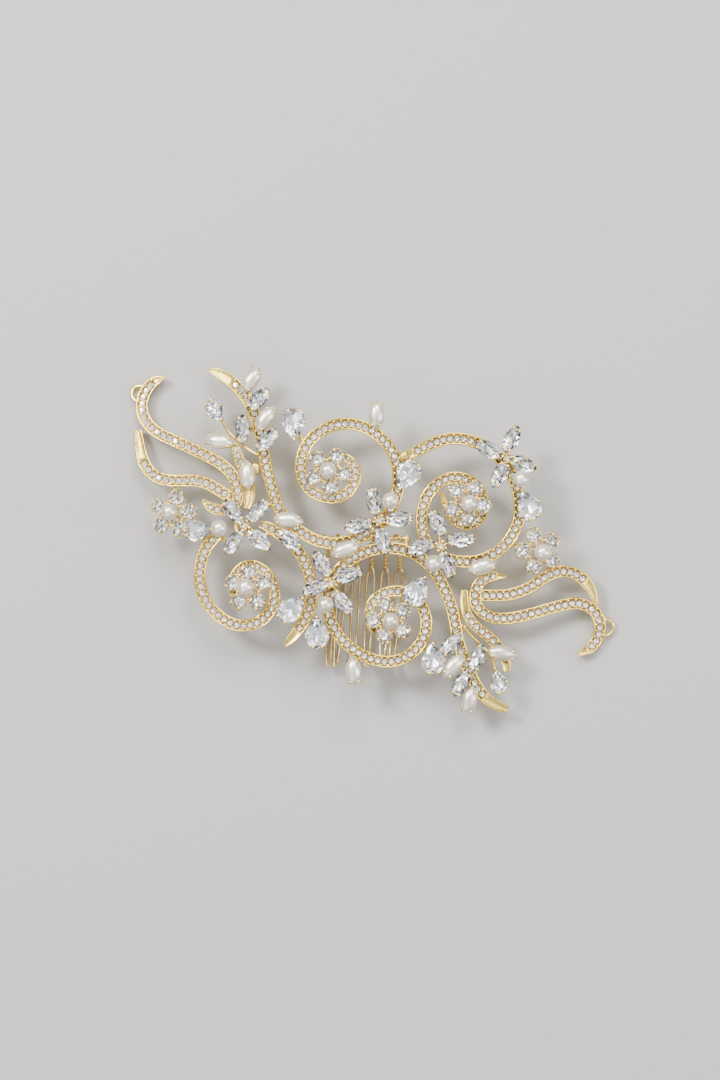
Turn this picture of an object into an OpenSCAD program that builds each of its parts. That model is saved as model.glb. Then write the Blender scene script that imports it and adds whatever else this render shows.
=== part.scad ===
// Decorative hair comb: pave-set scrollwork carrying stone and pearl flowers, on a wire comb.
// X runs along the ornament, Y across it, Z up out of its face; the tines' bellies touch Z = 0.

/* [Frame curve] */
// Radius that the whole ornament is bowed to, along its long diagonal
bow_radius = 240; // [200:5:400]
// Height of the frame's underside at the top of the bow
crown = 11.1; // [11:0.1:14]

/* [Channel bands] */
// Full width of a channel band
band_w = 3.4; // [3:0.1:3.6]
// Height of a channel band
band_h = 2; // [1.8:0.1:2.4]
// Height of the channel's floor above the band's underside
floor_h = 1; // [0.6:0.1:1.1]
// Width of each raised rim
rim_w = 0.5; // [0.35:0.05:0.6]

/* [Stones] */
// Diameter of a pave stone
pave_d = 1.5; // [1.2:0.05:1.6]
// Spacing of the pave stones along a band
pave_pitch = 1.9; // [1.8:0.05:2.4]
// Diameter of a rosette's round stone
round_d = 4.2; // [3.6:0.1:4.4]
// Length of a marquise stone
marquise_l = 8.4; // [7:0.1:8.8]
// Width of a marquise stone
marquise_w = 4.3; // [3.6:0.1:4.6]
// Length of a large pear stone
pear_l = 9; // [8:0.1:9.4]
// Width of a large pear stone
pear_w = 6.6; // [5.8:0.1:7]

/* [Pearls] */
// Diameter of a round pearl
pearl_d = 4.6; // [4:0.1:5]
// Length of a navette pearl
navette_l = 8.6; // [8:0.1:9]
// Width of a navette pearl
navette_w = 4.4; // [4:0.1:4.8]

/* [Wire comb] */
// Diameter of the comb's wire
wire_d = 0.7; // [0.5:0.05:0.8]
// Spacing of the tines along the spine
tine_pitch = 3.95; // [3.8:0.05:4.2]
// Depth that the tines reach below the spine
tine_reach = 35.5; // [30:0.5:37]

/* [Hidden] */

GOLD = [0.85, 0.72, 0.42];
CRYSTAL = [0.88, 0.92, 0.96];
PEARL = [0.94, 0.91, 0.85];

// The bow runs along the line from one ribbon hook to the other.
bow_angle = -28.6;
bow_middle = -3.8;
steps = 2;
seat_h = band_h;
plate_h = 0.5;
claw_r = 0.3;
lift_stone = seat_h + plate_h;
wire_r = wire_d / 2;

// Each band's centre line, from one end to the other: x, y and, where it isn't band_w, the width.
RIBBON_LEFT_LONG = [
    [-57.8, 44.9, 0.6], [-59.6, 44.5, 2.2], [-61.6, 43.3, 3.2], [-63.2, 41.2], [-64.1, 38.8],
    [-64.2, 36.2], [-63.5, 33.8], [-61.8, 31.4], [-59, 29.3], [-55, 27.4], [-50, 25.1], [-45.3, 22.8],
    [-41.5, 20.5], [-39, 17.9], [-37.8, 15.2], [-37.4, 12.3], [-37.9, 9.9, 3.2], [-39.6, 8.4, 3],
    [-41.9, 8.2, 3.2], [-44.4, 8.8, 3], [-46.1, 10, 2], [-47.1, 11.2, 0.6]
];
RIBBON_LEFT_SHORT = [
    [-65.2, 30.5, 1.9], [-64.8, 27.5, 2.5], [-64.4, 24.5, 3.1], [-63.6, 21.6], [-62, 19.1],
    [-59.6, 17.3], [-56.5, 16.5], [-53, 16.4], [-49.5, 16.4], [-46.3, 15.7], [-43.3, 14.1],
    [-39.7, 11.8]
];
STRAP_LEFT = [
    [-38.3, 26.4, 2], [-37.7, 24.2, 2.6], [-36.8, 21.8, 3], [-35.8, 19.2, 3], [-34.7, 16.6, 2.8],
    [-34.1, 14.2, 3], [-34.2, 11.4, 2.9], [-34.9, 8.6, 2]
];
STEM_LEFT = [
    [-45.4, 47.1, 1.6], [-43.3, 46.2, 2.6], [-40.9, 44.9, 3.2], [-38.2, 42.8], [-35.8, 40],
    [-34, 37.2], [-32.6, 34], [-31.5, 30.5], [-30.9, 27.2], [-30.3, 24.2], [-29.7, 21.2],
    [-29.1, 18.2], [-28.2, 15], [-27.2, 11.8], [-26, 8.8], [-24.2, 6], [-21.6, 3.5], [-18.6, 1.3],
    [-15.7, -0.1], [-12.8, -0.8], [-9.8, -0.9], [-6.8, -0.4], [-3.9, 0.7], [-1, 2.3], [1.6, 4.4],
    [3.8, 7], [5.4, 10], [6.4, 13.3], [6.8, 16.8], [6.5, 20.3], [5.4, 23.6], [3.4, 26.6], [0.8, 29],
    [-2.3, 30.8], [-5.6, 31.7], [-9, 31.8], [-12.3, 31], [-15.3, 29.3], [-17.7, 27], [-19.3, 24.1],
    [-20, 21], [-19.8, 17.9], [-18.6, 15.1], [-16.5, 13, 3.2], [-13.8, 11.8, 3.2],
    [-10.9, 11.5, 3.2], [-8.2, 12.3, 3.1], [-6.1, 14.1, 3], [-5, 16.6, 2.9], [-5, 19.3, 2.8],
    [-6.1, 21.5, 2.6], [-8.2, 22.8, 2.2]
];
BRANCH_LEFT = [
    [-31.2, 4.3, 2], [-29, 3.6, 3], [-26.3, 2], [-24, 0.3], [-22.2, -1.2], [-20.8, -2.9],
    [-19.5, -5], [-18.4, -7.3], [-17.6, -9.8], [-17.1, -12.4], [-17, -15], [-17.4, -17.6],
    [-18.2, -20.2], [-19.5, -22.8], [-21.1, -25.2, 3], [-22.8, -27.4, 2.4], [-24.4, -29, 1.1]
];
SCROLL_LOWER_LEFT = [
    [-42, 1.9, 2.6], [-44.7, -0.4], [-46.5, -3.2], [-47.6, -6.5], [-47.9, -10], [-47.5, -13.3],
    [-46.2, -16.5], [-43.9, -19.6], [-40.8, -22], [-37.2, -23.4], [-33.4, -23.2], [-30.1, -21.5],
    [-27.9, -18.4], [-27.2, -14.8, 3.2], [-27.9, -11.4, 3.1], [-30, -8.5, 3], [-33, -6.9, 2.9],
    [-35.9, -7.4, 2.8], [-38, -9.4, 2.7], [-38.8, -12.1, 2.6], [-38.2, -14.9, 2.4], [-36.8, -17, 1.6]
];
STEM_RIGHT = [
    [37.2, -46.9, 1.9], [35, -46.1, 2.7], [32.5, -44.8, 3.2], [30.1, -42.7], [28.3, -40.1],
    [26.8, -37.2], [25.5, -34.3], [24.3, -31.2], [23.4, -28.2], [22.7, -25.2], [22.2, -22.2],
    [21.5, -19.1], [20.5, -16], [19.2, -12.9], [17.6, -9.9], [15.5, -7.2], [12.8, -4.8], [9.8, -3.2],
    [6.5, -2.4], [3.1, -2.2], [-0.2, -2.7], [-3.4, -3.8], [-6.4, -5.5], [-9.1, -7.8], [-11.2, -10.7],
    [-12.5, -14], [-12.8, -17.5], [-12.2, -20.9], [-10.9, -24], [-8.9, -26.9], [-6.2, -29.5],
    [-3.2, -31.5], [0.2, -32.9], [3.8, -33.4], [7.3, -32.8], [10.4, -31.1], [12.8, -28.4],
    [14.1, -25.1], [14.3, -21.5], [13.2, -18.1], [11, -15.6, 3.3], [8, -14.2, 3.2], [4.8, -14.1, 3.1],
    [1.8, -15, 3], [-0.4, -17.1, 2.9], [-1.4, -19.9, 2.8], [-1, -22.8, 2.6], [0.5, -25, 2]
];
SCROLL_UPPER_RIGHT = [
    [14.7, -0.8, 2.8], [13.6, 2], [13.1, 5], [13.3, 8], [14.2, 11], [15.9, 13.8], [18.3, 15.9],
    [21.2, 17], [24.2, 16.9], [27, 15.6], [29.1, 13.3, 3.3], [30.1, 10.4, 3.2], [29.8, 7.4, 3.1],
    [28.1, 5, 3], [25.5, 4.2, 2.9], [22.9, 4.9, 2.7], [21, 6.7, 2.5], [19.9, 9, 2.2],
    [19.1, 11.3, 2], [18.5, 13.1, 1.3]
];
ARC_UPPER_RIGHT = [
    [9.6, 23.2, 2.6], [12, 24.4, 3.3], [14.9, 25.9], [17.9, 27.1], [21, 27.8], [24.3, 27.7],
    [27.5, 26.9], [30.5, 25.6], [33.2, 23.7], [35.5, 21.4], [37.4, 18.8], [38.8, 15.9],
    [39.7, 12.8], [40.1, 9.5], [39.9, 6.3], [39.1, 3.3], [37.6, 0.5], [35.6, -1.9], [33, -3.9],
    [30, -5.3], [26.9, -5.9], [23.8, -5.9], [20.9, -5.2, 3], [19, -4.2, 2.4]
];
RIBBON_RIGHT_LONG = [
    [36.4, -10.3, 0.6], [34.9, -10, 1.8], [32.8, -10, 2.8], [30.6, -10.7, 3], [28.8, -12.3, 3.2],
    [27.9, -14.7], [28, -17.2], [29.2, -19.2], [31.1, -20.7], [33.7, -21.5], [36.8, -21.6],
    [40.2, -21.1], [44.2, -20.2], [48.5, -19], [52.5, -18], [56, -17.5], [59.2, -18.3],
    [61.5, -20.2], [62.6, -22.8], [62.7, -25.4], [61.9, -27.8], [60.2, -29.8, 3.1], [58.2, -31.1, 2],
    [56.6, -31.7, 0.6]
];
RIBBON_RIGHT_SHORT = [
    [29.1, -15.2], [33.5, -15.3], [37, -15.1], [40.5, -14.2], [43.8, -12.6], [47, -10.5], [50.2, -9],
    [53.3, -8.7], [56, -9.6], [58.3, -11.3], [60, -13.6, 3], [61.1, -15.9, 2],
    [61.9, -17.9, 1]
];
STRAP_RIGHT = [
    [24.9, -13.7, 2], [24.8, -16.5, 2.5], [25.3, -19.3, 2.8], [26.6, -22, 3], [28.8, -24.4, 3.1],
    [31.3, -26.3, 3.2], [33.5, -28.5, 3.2], [35.3, -30.9, 3.1], [36.4, -33.6, 2.7], [36.7, -36.3, 2]
];

// Rosettes: x, y, direction of the first stone, and how far the centre leans out, in degrees.
ROSETTES = [
    [-55.2, 7.2, 6, 8], [-12.4, 18.9, 61, 0], [25.5, 10.3, 61, 8], [-34.4, -13.2, 17, 10],
    [4.3, -22, 35, 3], [45.3, -2.9, 37, 10]
];
ring_r = 4.6;

// Petal flowers: each petal is x, y and the direction it points.
FLOWERS = [
    [[-38.5, 7.9, 125], [-31.7, 7.9, 46], [-38.3, -0.6, 236], [-31.4, 0, -40]],
    [[-14.1, -6.6, 122], [-6.8, -9.6, 17], [-8.7, -17, -51], [-15.8, -12.9, 203]],
    [[17.3, 4.6, 118], [23.8, 0.2, 2], [12.8, -1.9, 197], [20, -6.7, -67]],
    [[0, 10.6, 100], [6.9, 5.7, 8], [-4.1, 3.9, 192], [2.4, -0.2, -72]],
    [[37.7, 27.6, 63], [31.4, 24.8, 152], [40.8, 20.9, -21], [34.4, 18, 243]]
];
FLOWER_HEARTS = [[-35.3, 3.9], [-11.6, -11.7], [18.3, -1.6], [1.6, 5.4], [36.6, 22.4]];
FLOWER_PEARLS = [[-42, 3.1], [-13.3, -17.6], [16.1, -6.3], [4.5, 10.7], [40, 16.8]];
flower_pearl_lift = seat_h + 1.6;

// Navette pearls and single marquise stones: x, y and direction.
NAVETTES = [
    [-33.7, 44.2, 55], [-29.9, 33.3, 54], [-42.7, 27.3, -10], [-34.8, 17.9, 95], [-23.5, 5.5, -7],
    [-7.9, -2.6, 20], [0.7, 34.3, 88], [29.9, -7.3, 15], [-5.5, -36, 95], [21.9, -34.7, 50],
    [26.4, -44.2, 76], [35.4, -31.2, -10]
];
SPRIGS = [
    [-31.6, 38.6, 46], [-29.2, 27.4, 45], [-36, 30.4, 90], [-23.1, -0.1, -43], [28.4, -32.3, 70],
    [21.2, -28.6, 42], [23.9, -39.4, 60]
];

// Pear stones: x, y, direction the point faces, and size against a large one.
PEARS = [
    [-43.6, 35.5, -55, 0.76], [-21.9, 31.6, -88, 1], [9.1, 17.6, 240, 1], [42.3, 9.8, 115, 1],
    [-48.2, 2.6, 5, 0.88], [-22.4, -18.8, 45, 1], [-15.5, -25.2, 92, 1], [11.8, -13.8, 60, 1],
    [16.2, -32.4, 92, 1], [34.3, -39, 102, 0.76]
];

// Backing tabs soldered under the bands: x and y of both ends.
TABS = [
    [-33.7, 44.2, -36.2, 40.6], [-29.9, 33.3, -32.8, 33.6], [-42.7, 27.3, -38.2, 25.6],
    [0.7, 34.3, -0.4, 29.8], [-5.5, -36, -4, -31.2], [21.9, -34.7, 24.8, -32.6],
    [26.4, -44.2, 28.8, -41], [-31.6, 38.6, -34.8, 38.4], [-36, 30.4, -31.6, 30.8],
    [28.4, -32.3, 24.8, -32.6], [23.9, -39.4, 27.4, -38.4], [-21.9, 31.6, -18.8, 25.6],
    [-49.2, 2.9, -45.2, -1], [-26.9, -18, -17.4, -18], [-19.8, -23.6, -10.4, -25],
    [16.2, -32.4, 12.6, -28.8], [-55, 11.6, -54.6, 16.8], [41, -2.9, 37.4, 0.2],
    [48.9, -5.5, 47.8, -10.2], [-7.9, -1, -6.6, -5.4], [2, 4.8, 3.2, -2.2], [-37.9, -0.2, -37.6, 9.6],
    [-43.4, 0.8, -38.3, -0.6], [-31.4, 8.2, -27, 10.6], [-31.4, 0, -27.6, 2.8], [-23.6, 0.4, -21, 3],
    [-17.2, -13, -12.3, -13.4], [13, -4.8, 14.3, 0.4], [16.6, -7.8, 20.6, -5.2],
    [31, -5, 31.6, -10.2], [9.2, 0.4, 9.2, -3.2], [8.9, 17.6, 6.2, 17.6]
];
tab_w = 1.5;
tab_h = 0.7;

// Pegs that stand on the tabs and reach up to the heads beside the bands.
PEGS = [
    [-34.1, 43.6], [-30.6, 33.4], [-42, 27], [0.5, 33.6], [-5.3, -35.3], [22.5, -34.3], [26.8, -43.6],
    [-32.3, 38.6], [-35.3, 30.5], [27.7, -32.4], [24.6, -39.2], [-21.6, 31], [-48.4, 2.2], [-22.4, -18],
    [-15.2, -24.3], [15.7, -31.9], [-55, 12.3], [40.4, -2.4], [48.7, -6.3], [-39, -0.4], [-30.8, 8.4],
    [-30.8, 0.4]
];
peg_r = 0.6;

// Saddle plates that close the gap between two bands, each a flat outline.
SADDLES = [
    [[6.9, 23.2], [7.6, 24.2], [9.4, 24.5], [9.6, 21.9], [8, 21.6], [7.6, 21.2]],
    [[-34.2, 21], [-31.5, 21.4], [-31, 18.3], [-32.6, 17.6], [-33.4, 17]],
    [[23.4, -18.2], [24, -18], [24.4, -21.8], [23.9, -22.6]],
    [[24.2, -23.6], [25.6, -23], [25.4, -24.2], [24.5, -25.2]]
];

// End loops: x, y and the direction that the loop faces.
LOOPS = [[-64.9, 40.6, 165], [64.4, -24.2, -3]];
loop_r = 2.2;
loop_wire_r = 0.45;

// Wire sprigs that carry the two small pears.
SPRIG_WIRES = [
    [[-42.6, 34, 1.9], [-41.3, 32.2, 1.7], [-40, 29.8, 1.4], [-38, 27.9, 1.2], [-35.2, 25.4, 1],
     [-32.2, 23.6, 1]],
    [[33.9, -37.4, 1.9], [33.2, -34.8, 1.7], [32.2, -32, 1.2], [30.2, -29.6, 0.2],
     [27.4, -26.8, 0.2], [24.9, -24.2, 0.2]]
];

// The comb: its spine lies under the middle of the frame and its tines lean a little to one side.
spine_y = 0.5;
spine_r = 0.6;
spine_z = 8.7;
spine_from = -14.4;
spine_to = 8.4;
post_r = 0.8;
post_foot = 8;
TINE_TIPS = [4.9, 2.4, -2, -6, -10.5, -12.5];
tine_first = 7.3;
twist_from = -0.9;
twist_to = -7.9;
belly_y = -21;
tip_y = spine_y - tine_reach;

function bow_run(x, y) = x * cos(bow_angle) + y * sin(bow_angle) - bow_middle;
function bed(x, y) = crown - pow(bow_run(x, y), 2) / (2 * bow_radius);
function bow_tilt(x, y) = atan(bow_run(x, y) / bow_radius);

function with_width(p) = len(p) > 2 ? p : [p[0], p[1], band_w];
function hermite(a, b, c, d, t) =
    0.5 * (2 * b + (c - a) * t + (2 * a - 5 * b + 4 * c - d) * t * t + (3 * b - a - 3 * c + d) * t * t * t);
function clamped(c, i) = with_width(c[max(0, min(len(c) - 1, i))]);
function smooth(c, k) = concat(
    [for (i = [0:len(c) - 2], j = [0:k - 1])
        hermite(clamped(c, i - 1), clamped(c, i), clamped(c, i + 1), clamped(c, i + 2), j / k)],
    [clamped(c, len(c) - 1)]
);
function flat(p) = [p[0], p[1]];
function unit(v) = v / norm(v);
function heading(p, i) = unit(flat(p[min(len(p) - 1, i + 1)]) - flat(p[max(0, i - 1)]));
function leftward(v) = [-v[1], v[0]];

// One cross-section of a channel: eight corners from the right foot round to the left foot.
function channel_ring(p, dir) =
    let (h = p[2] / 2, t = min(rim_w, p[2] / 4), side = leftward(dir))
    [for (c = [[-h, 0], [-h, band_h], [t - h, band_h], [t - h, floor_h],
               [h - t, floor_h], [h - t, band_h], [h, band_h], [h, 0]])
        let (q = flat(p) + c[0] * side) [q[0], q[1], bed(q[0], q[1]) + c[1]]];

module channel(line) {
    path = smooth(line, steps);
    n = len(path);
    last = 8 * (n - 1);
    corners = [for (i = [0:n - 1]) each channel_ring(path[i], heading(path, i))];
    walls = [for (i = [0:n - 2], j = [0:7])
        [8 * i + j, 8 * i + (j + 1) % 8, 8 * i + 8 + (j + 1) % 8, 8 * i + 8 + j]];
    start_cap = [[3, 2, 1, 0], [7, 4, 3, 0], [7, 6, 5, 4]];
    end_cap = [for (f = start_cap) [for (k = [3:-1:0]) last + f[k]]];
    color(GOLD) polyhedron(corners, concat(walls, start_cap, end_cap), convexity = 10);
}

// Stands its children on the bowed frame, leaning with it. Their centre comes over x, y at height lean.
module seat(x, y, lift, turn = 0, lean = 3.2) {
    back = lean * sin(bow_tilt(x, y));
    foot = [x - back * cos(bow_angle), y - back * sin(bow_angle)];
    translate([foot[0], foot[1], bed(foot[0], foot[1])]) rotate([0, 0, bow_angle]) rotate([0, bow_tilt(x, y), 0])
        rotate([0, 0, turn - bow_angle]) translate([0, 0, lift]) children();
}

// A brilliant-cut round stone with its point at the origin.
module brilliant(d, h) {
    rotate_extrude($fn = 32)
        polygon([[0, 0], [d / 2, 0.62 * h], [d / 2, 0.72 * h], [0.3 * d, h], [0, h]]);
}

// A row of small stones along a band, leaving plain metal at its start and its end.
module pave(line, plain_start, plain_end) {
    path = smooth(line, 4);
    along = [for (i = 0, s = 0; i < len(path);
        s = s + (i + 1 < len(path) ? norm(flat(path[i + 1]) - flat(path[i])) : 0), i = i + 1) s];
    xs = [for (i = [0:len(path) - 1]) [along[i], path[i][0]]];
    ys = [for (i = [0:len(path) - 1]) [along[i], path[i][1]]];
    run = along[len(path) - 1] - plain_start - plain_end;
    count = floor(run / pave_pitch);
    color(CRYSTAL) for (k = [0:count]) {
        s = plain_start + k * run / count;
        seat(lookup(s, xs), lookup(s, ys), floor_h, 0, 1.4) brilliant(pave_d, band_h - floor_h - 0.05);
    }
}

module marquise_outline(l, w) {
    r = (l * l + w * w) / (4 * w);
    intersection() {
        translate([0, r - w / 2]) circle(r, $fn = 96);
        translate([0, w / 2 - r]) circle(r, $fn = 96);
    }
}

// A round end at -X and a straight-sided point at +X, centred on its length.
module pear_outline(l, w) {
    r = w / 2;
    point = l - r;
    a = acos(r / point);
    translate([r - l / 2, 0]) {
        circle(r, $fn = 48);
        polygon([[point, 0], [r * cos(a), r * sin(a)], [0, 0], [r * cos(a), -r * sin(a)]]);
    }
}

function marquise_edge(l, w, x) = let (r = (l * l + w * w) / (4 * w)) sqrt(r * r - x * x) - r + w / 2;

// The steps of a fancy-cut stone, from its pavilion to its table.
CUT = [[0.45, 0, 0.5], [0.75, 0.5, 0.9], [1, 0.9, 1.25], [0.8, 1.25, 1.6], [0.6, 1.6, 1.9]];

module marquise_stone(l, w) {
    for (c = CUT)
        translate([0, 0, c[1]]) linear_extrude(c[2] - c[1]) marquise_outline(l * c[0], w * c[0]);
}

module pear_stone(l, w) {
    for (c = CUT)
        translate([0, 0, c[1]]) linear_extrude(c[2] - c[1]) pear_outline(l * c[0], w * c[0]);
}

module claw(x, y, h) {
    translate([x, y, 0]) cylinder(r = claw_r, h = h, $fn = 16);
}

// A marquise head: its gallery plate and four claws.
module marquise_head(l, w, h) {
    linear_extrude(plate_h) marquise_outline(0.8 * l, 0.8 * w);
    for (sx = [-1, 1], sy = [-1, 1]) {
        x = 0.3 * l * sx;
        y = (marquise_edge(l, w, x) + claw_r) * sy;
        claw(x, y, h);
        translate([x, 0, 0]) rotate([0, 0, 90 * sy]) translate([0, -0.35, 0]) cube([abs(y), 0.7, plate_h]);
    }
}

// A pear head: its gallery plate, three claws round the wide end and one at the point.
module pear_head(l, w, h) {
    r = w / 2;
    linear_extrude(plate_h) pear_outline(0.8 * l, 0.8 * w);
    translate([r - l / 2, 0, 0]) for (a = [75, 180, 285]) {
        claw((r + claw_r) * cos(a), (r + claw_r) * sin(a), h);
        rotate([0, 0, a]) translate([0, -0.35, 0]) cube([r + claw_r, 0.7, plate_h]);
    }
    claw(l / 2 + 0.1, 0, h);
    translate([0, -0.35, 0]) cube([l / 2 + 0.1, 0.7, plate_h]);
}

// Half of a spindle: an arc turned about its own chord and cut flat underneath.
module navette(l, w) {
    r = (l * l + w * w) / (4 * w);
    intersection() {
        rotate([0, 90, 0]) rotate_extrude($fn = 96) intersection() {
            translate([w / 2 - r, 0]) circle(r, $fn = 96);
            translate([0, -l / 2]) square([w, l]);
        }
        translate([-l, -l, 0]) cube([2 * l, 2 * l, l]);
    }
}

module ring_of(n, first) {
    for (k = [0:n - 1]) rotate([0, 0, first + k * 360 / n]) translate([ring_r * 0.98, 0, 0]) children();
}

module rosette_seat(r, lift) {
    seat(r[0], r[1], lift) children();
}

module rosette_setting(r) {
    color(GOLD) rosette_seat(r, seat_h) {
        cylinder(r = 1.2, h = plate_h + 1.7, $fn = 24);
        for (k = [0:4]) rotate([0, 0, r[2] + 72 * k]) {
            translate([ring_r, 0, 0]) cylinder(r = 1.5, h = plate_h, $fn = 24);
            translate([0, -0.4, 0]) cube([ring_r, 0.8, plate_h]);
            for (a = [40, 140, 220, 320])
                claw(ring_r + (round_d / 2 + 0.1) * cos(a), (round_d / 2 + 0.1) * sin(a), 2.2);
        }
    }
}

module rosette_stones(r) {
    color(CRYSTAL) rosette_seat(r, lift_stone) ring_of(5, r[2]) brilliant(round_d - 0.2, 2.1);
}

module flower_setting(i) {
    color(GOLD) for (p = FLOWERS[i]) {
        seat(p[0], p[1], seat_h, p[2]) marquise_head(marquise_l, marquise_w, 2.2);
        heart = FLOWER_HEARTS[i];
        span = [heart[0] - p[0], heart[1] - p[1]];
        seat(p[0], p[1], seat_h, atan2(span[1], span[0]))
            translate([0, -0.5, 0]) cube([norm(span), 1, plate_h]);
    }
    pearl = FLOWER_PEARLS[i];
    color(GOLD) seat(pearl[0], pearl[1], seat_h) cylinder(r = 1.1, h = 1.6, $fn = 24);
}

module flower_petals(i) {
    color(CRYSTAL) for (p = FLOWERS[i])
        seat(p[0], p[1], lift_stone, p[2]) marquise_stone(marquise_l, marquise_w);
}

module ribbon_left_long() { channel(RIBBON_LEFT_LONG); }
module ribbon_left_short() { channel(RIBBON_LEFT_SHORT); }
module strap_left() { channel(STRAP_LEFT); }
module stem_left() { channel(STEM_LEFT); }
module branch_left() { channel(BRANCH_LEFT); }
module scroll_lower_left() { channel(SCROLL_LOWER_LEFT); }
module stem_right() { channel(STEM_RIGHT); }
module scroll_upper_right() { channel(SCROLL_UPPER_RIGHT); }
module arc_upper_right() { channel(ARC_UPPER_RIGHT); }
module ribbon_right_long() { channel(RIBBON_RIGHT_LONG); }
module ribbon_right_short() { channel(RIBBON_RIGHT_SHORT); }
module strap_right() { channel(STRAP_RIGHT); }

module pave_ribbon_left_long() { pave(RIBBON_LEFT_LONG, 4.6, 3.2); }
module pave_ribbon_left_short() { pave(RIBBON_LEFT_SHORT, 9.6, 1.8); }
module pave_strap_left() { pave(STRAP_LEFT, 1.4, 7.6); }
module pave_stem_left() { pave(STEM_LEFT, 8.6, 1.4); }
module pave_branch_left() { pave(BRANCH_LEFT, 1.4, 6.4); }
module pave_scroll_lower_left() { pave(SCROLL_LOWER_LEFT, 1.2, 1.8); }
module pave_stem_right() { pave(STEM_RIGHT, 8.6, 1.4); }
module pave_scroll_upper_right() { pave(SCROLL_UPPER_RIGHT, 1, 4.6); }
module pave_arc_upper_right() { pave(ARC_UPPER_RIGHT, 2.8, 1.2); }
module pave_ribbon_right_long() { pave(RIBBON_RIGHT_LONG, 3.6, 4.6); }
module pave_ribbon_right_short() { pave(RIBBON_RIGHT_SHORT, 1.8, 8.4); }
module pave_strap_right() { pave(STRAP_RIGHT, 7.2, 3.6); }

// Round pearls: one raised over the middle of each rosette, and one beside each petal flower.
module round_pearls() {
    color(PEARL) {
        for (r = ROSETTES) {
            out = bow_angle + (bow_run(r[0], r[1]) < 0 ? 180 : 0);
            seat(r[0] + 0.06 * r[3] * cos(out), r[1] + 0.06 * r[3] * sin(out), seat_h + 4)
                sphere(d = pearl_d, $fn = 48);
        }
        for (p = FLOWER_PEARLS)
            seat(p[0], p[1], flower_pearl_lift + pearl_d / 2) sphere(d = pearl_d, $fn = 48);
    }
}

module navette_settings() {
    color(GOLD) for (p = NAVETTES)
        seat(p[0], p[1], seat_h, p[2]) marquise_head(navette_l, navette_w, 1.7);
}

module navette_pearls() {
    color(PEARL) for (p = NAVETTES) seat(p[0], p[1], lift_stone, p[2]) navette(navette_l, navette_w);
}

module pear_settings() {
    color(GOLD) for (p = PEARS)
        seat(p[0], p[1], seat_h, p[2]) pear_head(pear_l * p[3], pear_w * p[3], 2.2);
}

module pear_stones() {
    color(CRYSTAL) for (p = PEARS)
        seat(p[0], p[1], lift_stone, p[2]) pear_stone(pear_l * p[3], pear_w * p[3]);
}

module sprig_settings() {
    color(GOLD) for (p = SPRIGS)
        seat(p[0], p[1], seat_h, p[2]) marquise_head(marquise_l, marquise_w, 2.2);
}

module sprig_stones() {
    color(CRYSTAL) for (p = SPRIGS)
        seat(p[0], p[1], lift_stone, p[2]) marquise_stone(marquise_l, marquise_w);
}

// A round wire along a list of points; ref is a direction that the wire never runs along.
module wire(path, r, sides, ref) {
    n = len(path);
    rings = [for (i = [0:n - 1])
        let (t = unit(path[min(n - 1, i + 1)] - path[max(0, i - 1)]),
             a = unit(cross(t, ref)),
             b = cross(t, a))
        each [for (j = [0:sides - 1]) path[i] + r * (cos(360 * j / sides) * a + sin(360 * j / sides) * b)]];
    walls = [for (i = [0:n - 2], j = [0:sides - 1])
        [sides * i + j, sides * i + (j + 1) % sides, sides * (i + 1) + (j + 1) % sides, sides * (i + 1) + j]];
    start_cap = [[for (j = [sides - 1:-1:0]) j]];
    end_cap = [[for (j = [0:sides - 1]) sides * (n - 1) + j]];
    polyhedron(rings, concat(walls, start_cap, end_cap), convexity = 10);
}

function lifted(line) = [for (p = line) [p[0], p[1], bed(p[0], p[1]) + p[2]]];

module sprig_wires() {
    color(GOLD) for (line = SPRIG_WIRES) wire(smooth(lifted(line), 3), 0.5, 8, [0, 0, 1]);
}

// Tabs under the frame join neighbouring pieces; pegs and saddles reach up from them.
module bridge_plates() {
    color(GOLD) {
        for (t = TABS) {
            mid = [(t[0] + t[2]) / 2, (t[1] + t[3]) / 2];
            span = [t[2] - t[0], t[3] - t[1]];
            seat(mid[0], mid[1], -tab_h, atan2(span[1], span[0]), 0)
                translate([-norm(span) / 2, -tab_w / 2, 0]) cube([norm(span), tab_w, tab_h]);
        }
        for (p = PEGS) seat(p[0], p[1], -0.3, 0, 0) cylinder(r = peg_r, h = seat_h + 0.3, $fn = 20);
        for (s = SADDLES) {
            middle = s[0] / 2 + s[2] / 2;
            seat(middle[0], middle[1], 0.3, 0, 0) linear_extrude(1.1)
                polygon([for (q = s) q - middle]);
        }
    }
}

module end_loops() {
    color(GOLD) for (l = LOOPS)
        seat(l[0], l[1], 1.2, l[2] - 100, 1) rotate_extrude(angle = 200, $fn = 48)
            translate([loop_r, 0]) circle(loop_wire_r, $fn = 24);
}

module comb_spine() {
    color(GOLD) translate([spine_from, spine_y, spine_z]) rotate([0, 90, 0])
        cylinder(r = spine_r, h = spine_to - spine_from, $fn = 24);
}

module comb_posts() {
    color(GOLD) {
        translate([spine_from - post_r, spine_y, post_foot])
            cylinder(r = post_r, h = bed(spine_from, spine_y) - post_foot, $fn = 24);
        translate([spine_to + post_r, spine_y, post_foot])
            cylinder(r = post_r, h = bed(spine_to, spine_y) - tab_h - post_foot, $fn = 24);
    }
}

// The lashing wire winds along the spine, one turn for each tine.
module comb_wrap() {
    turns = (spine_to - spine_from - 1.2) / tine_pitch;
    path = [for (i = [0:12 * turns])
        let (a = 30 * i - 20)
        [spine_from + 0.6 + tine_pitch * i / 12, spine_y + (spine_r + wire_r) * cos(a),
         spine_z + (spine_r + wire_r) * sin(a)]];
    color(GOLD) wire(path, wire_r, 6, [1, 0, 0]);
}

function belly(y) = wire_r + (spine_z - wire_r) * pow((y - belly_y) / (spine_y - belly_y), 2);

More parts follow.
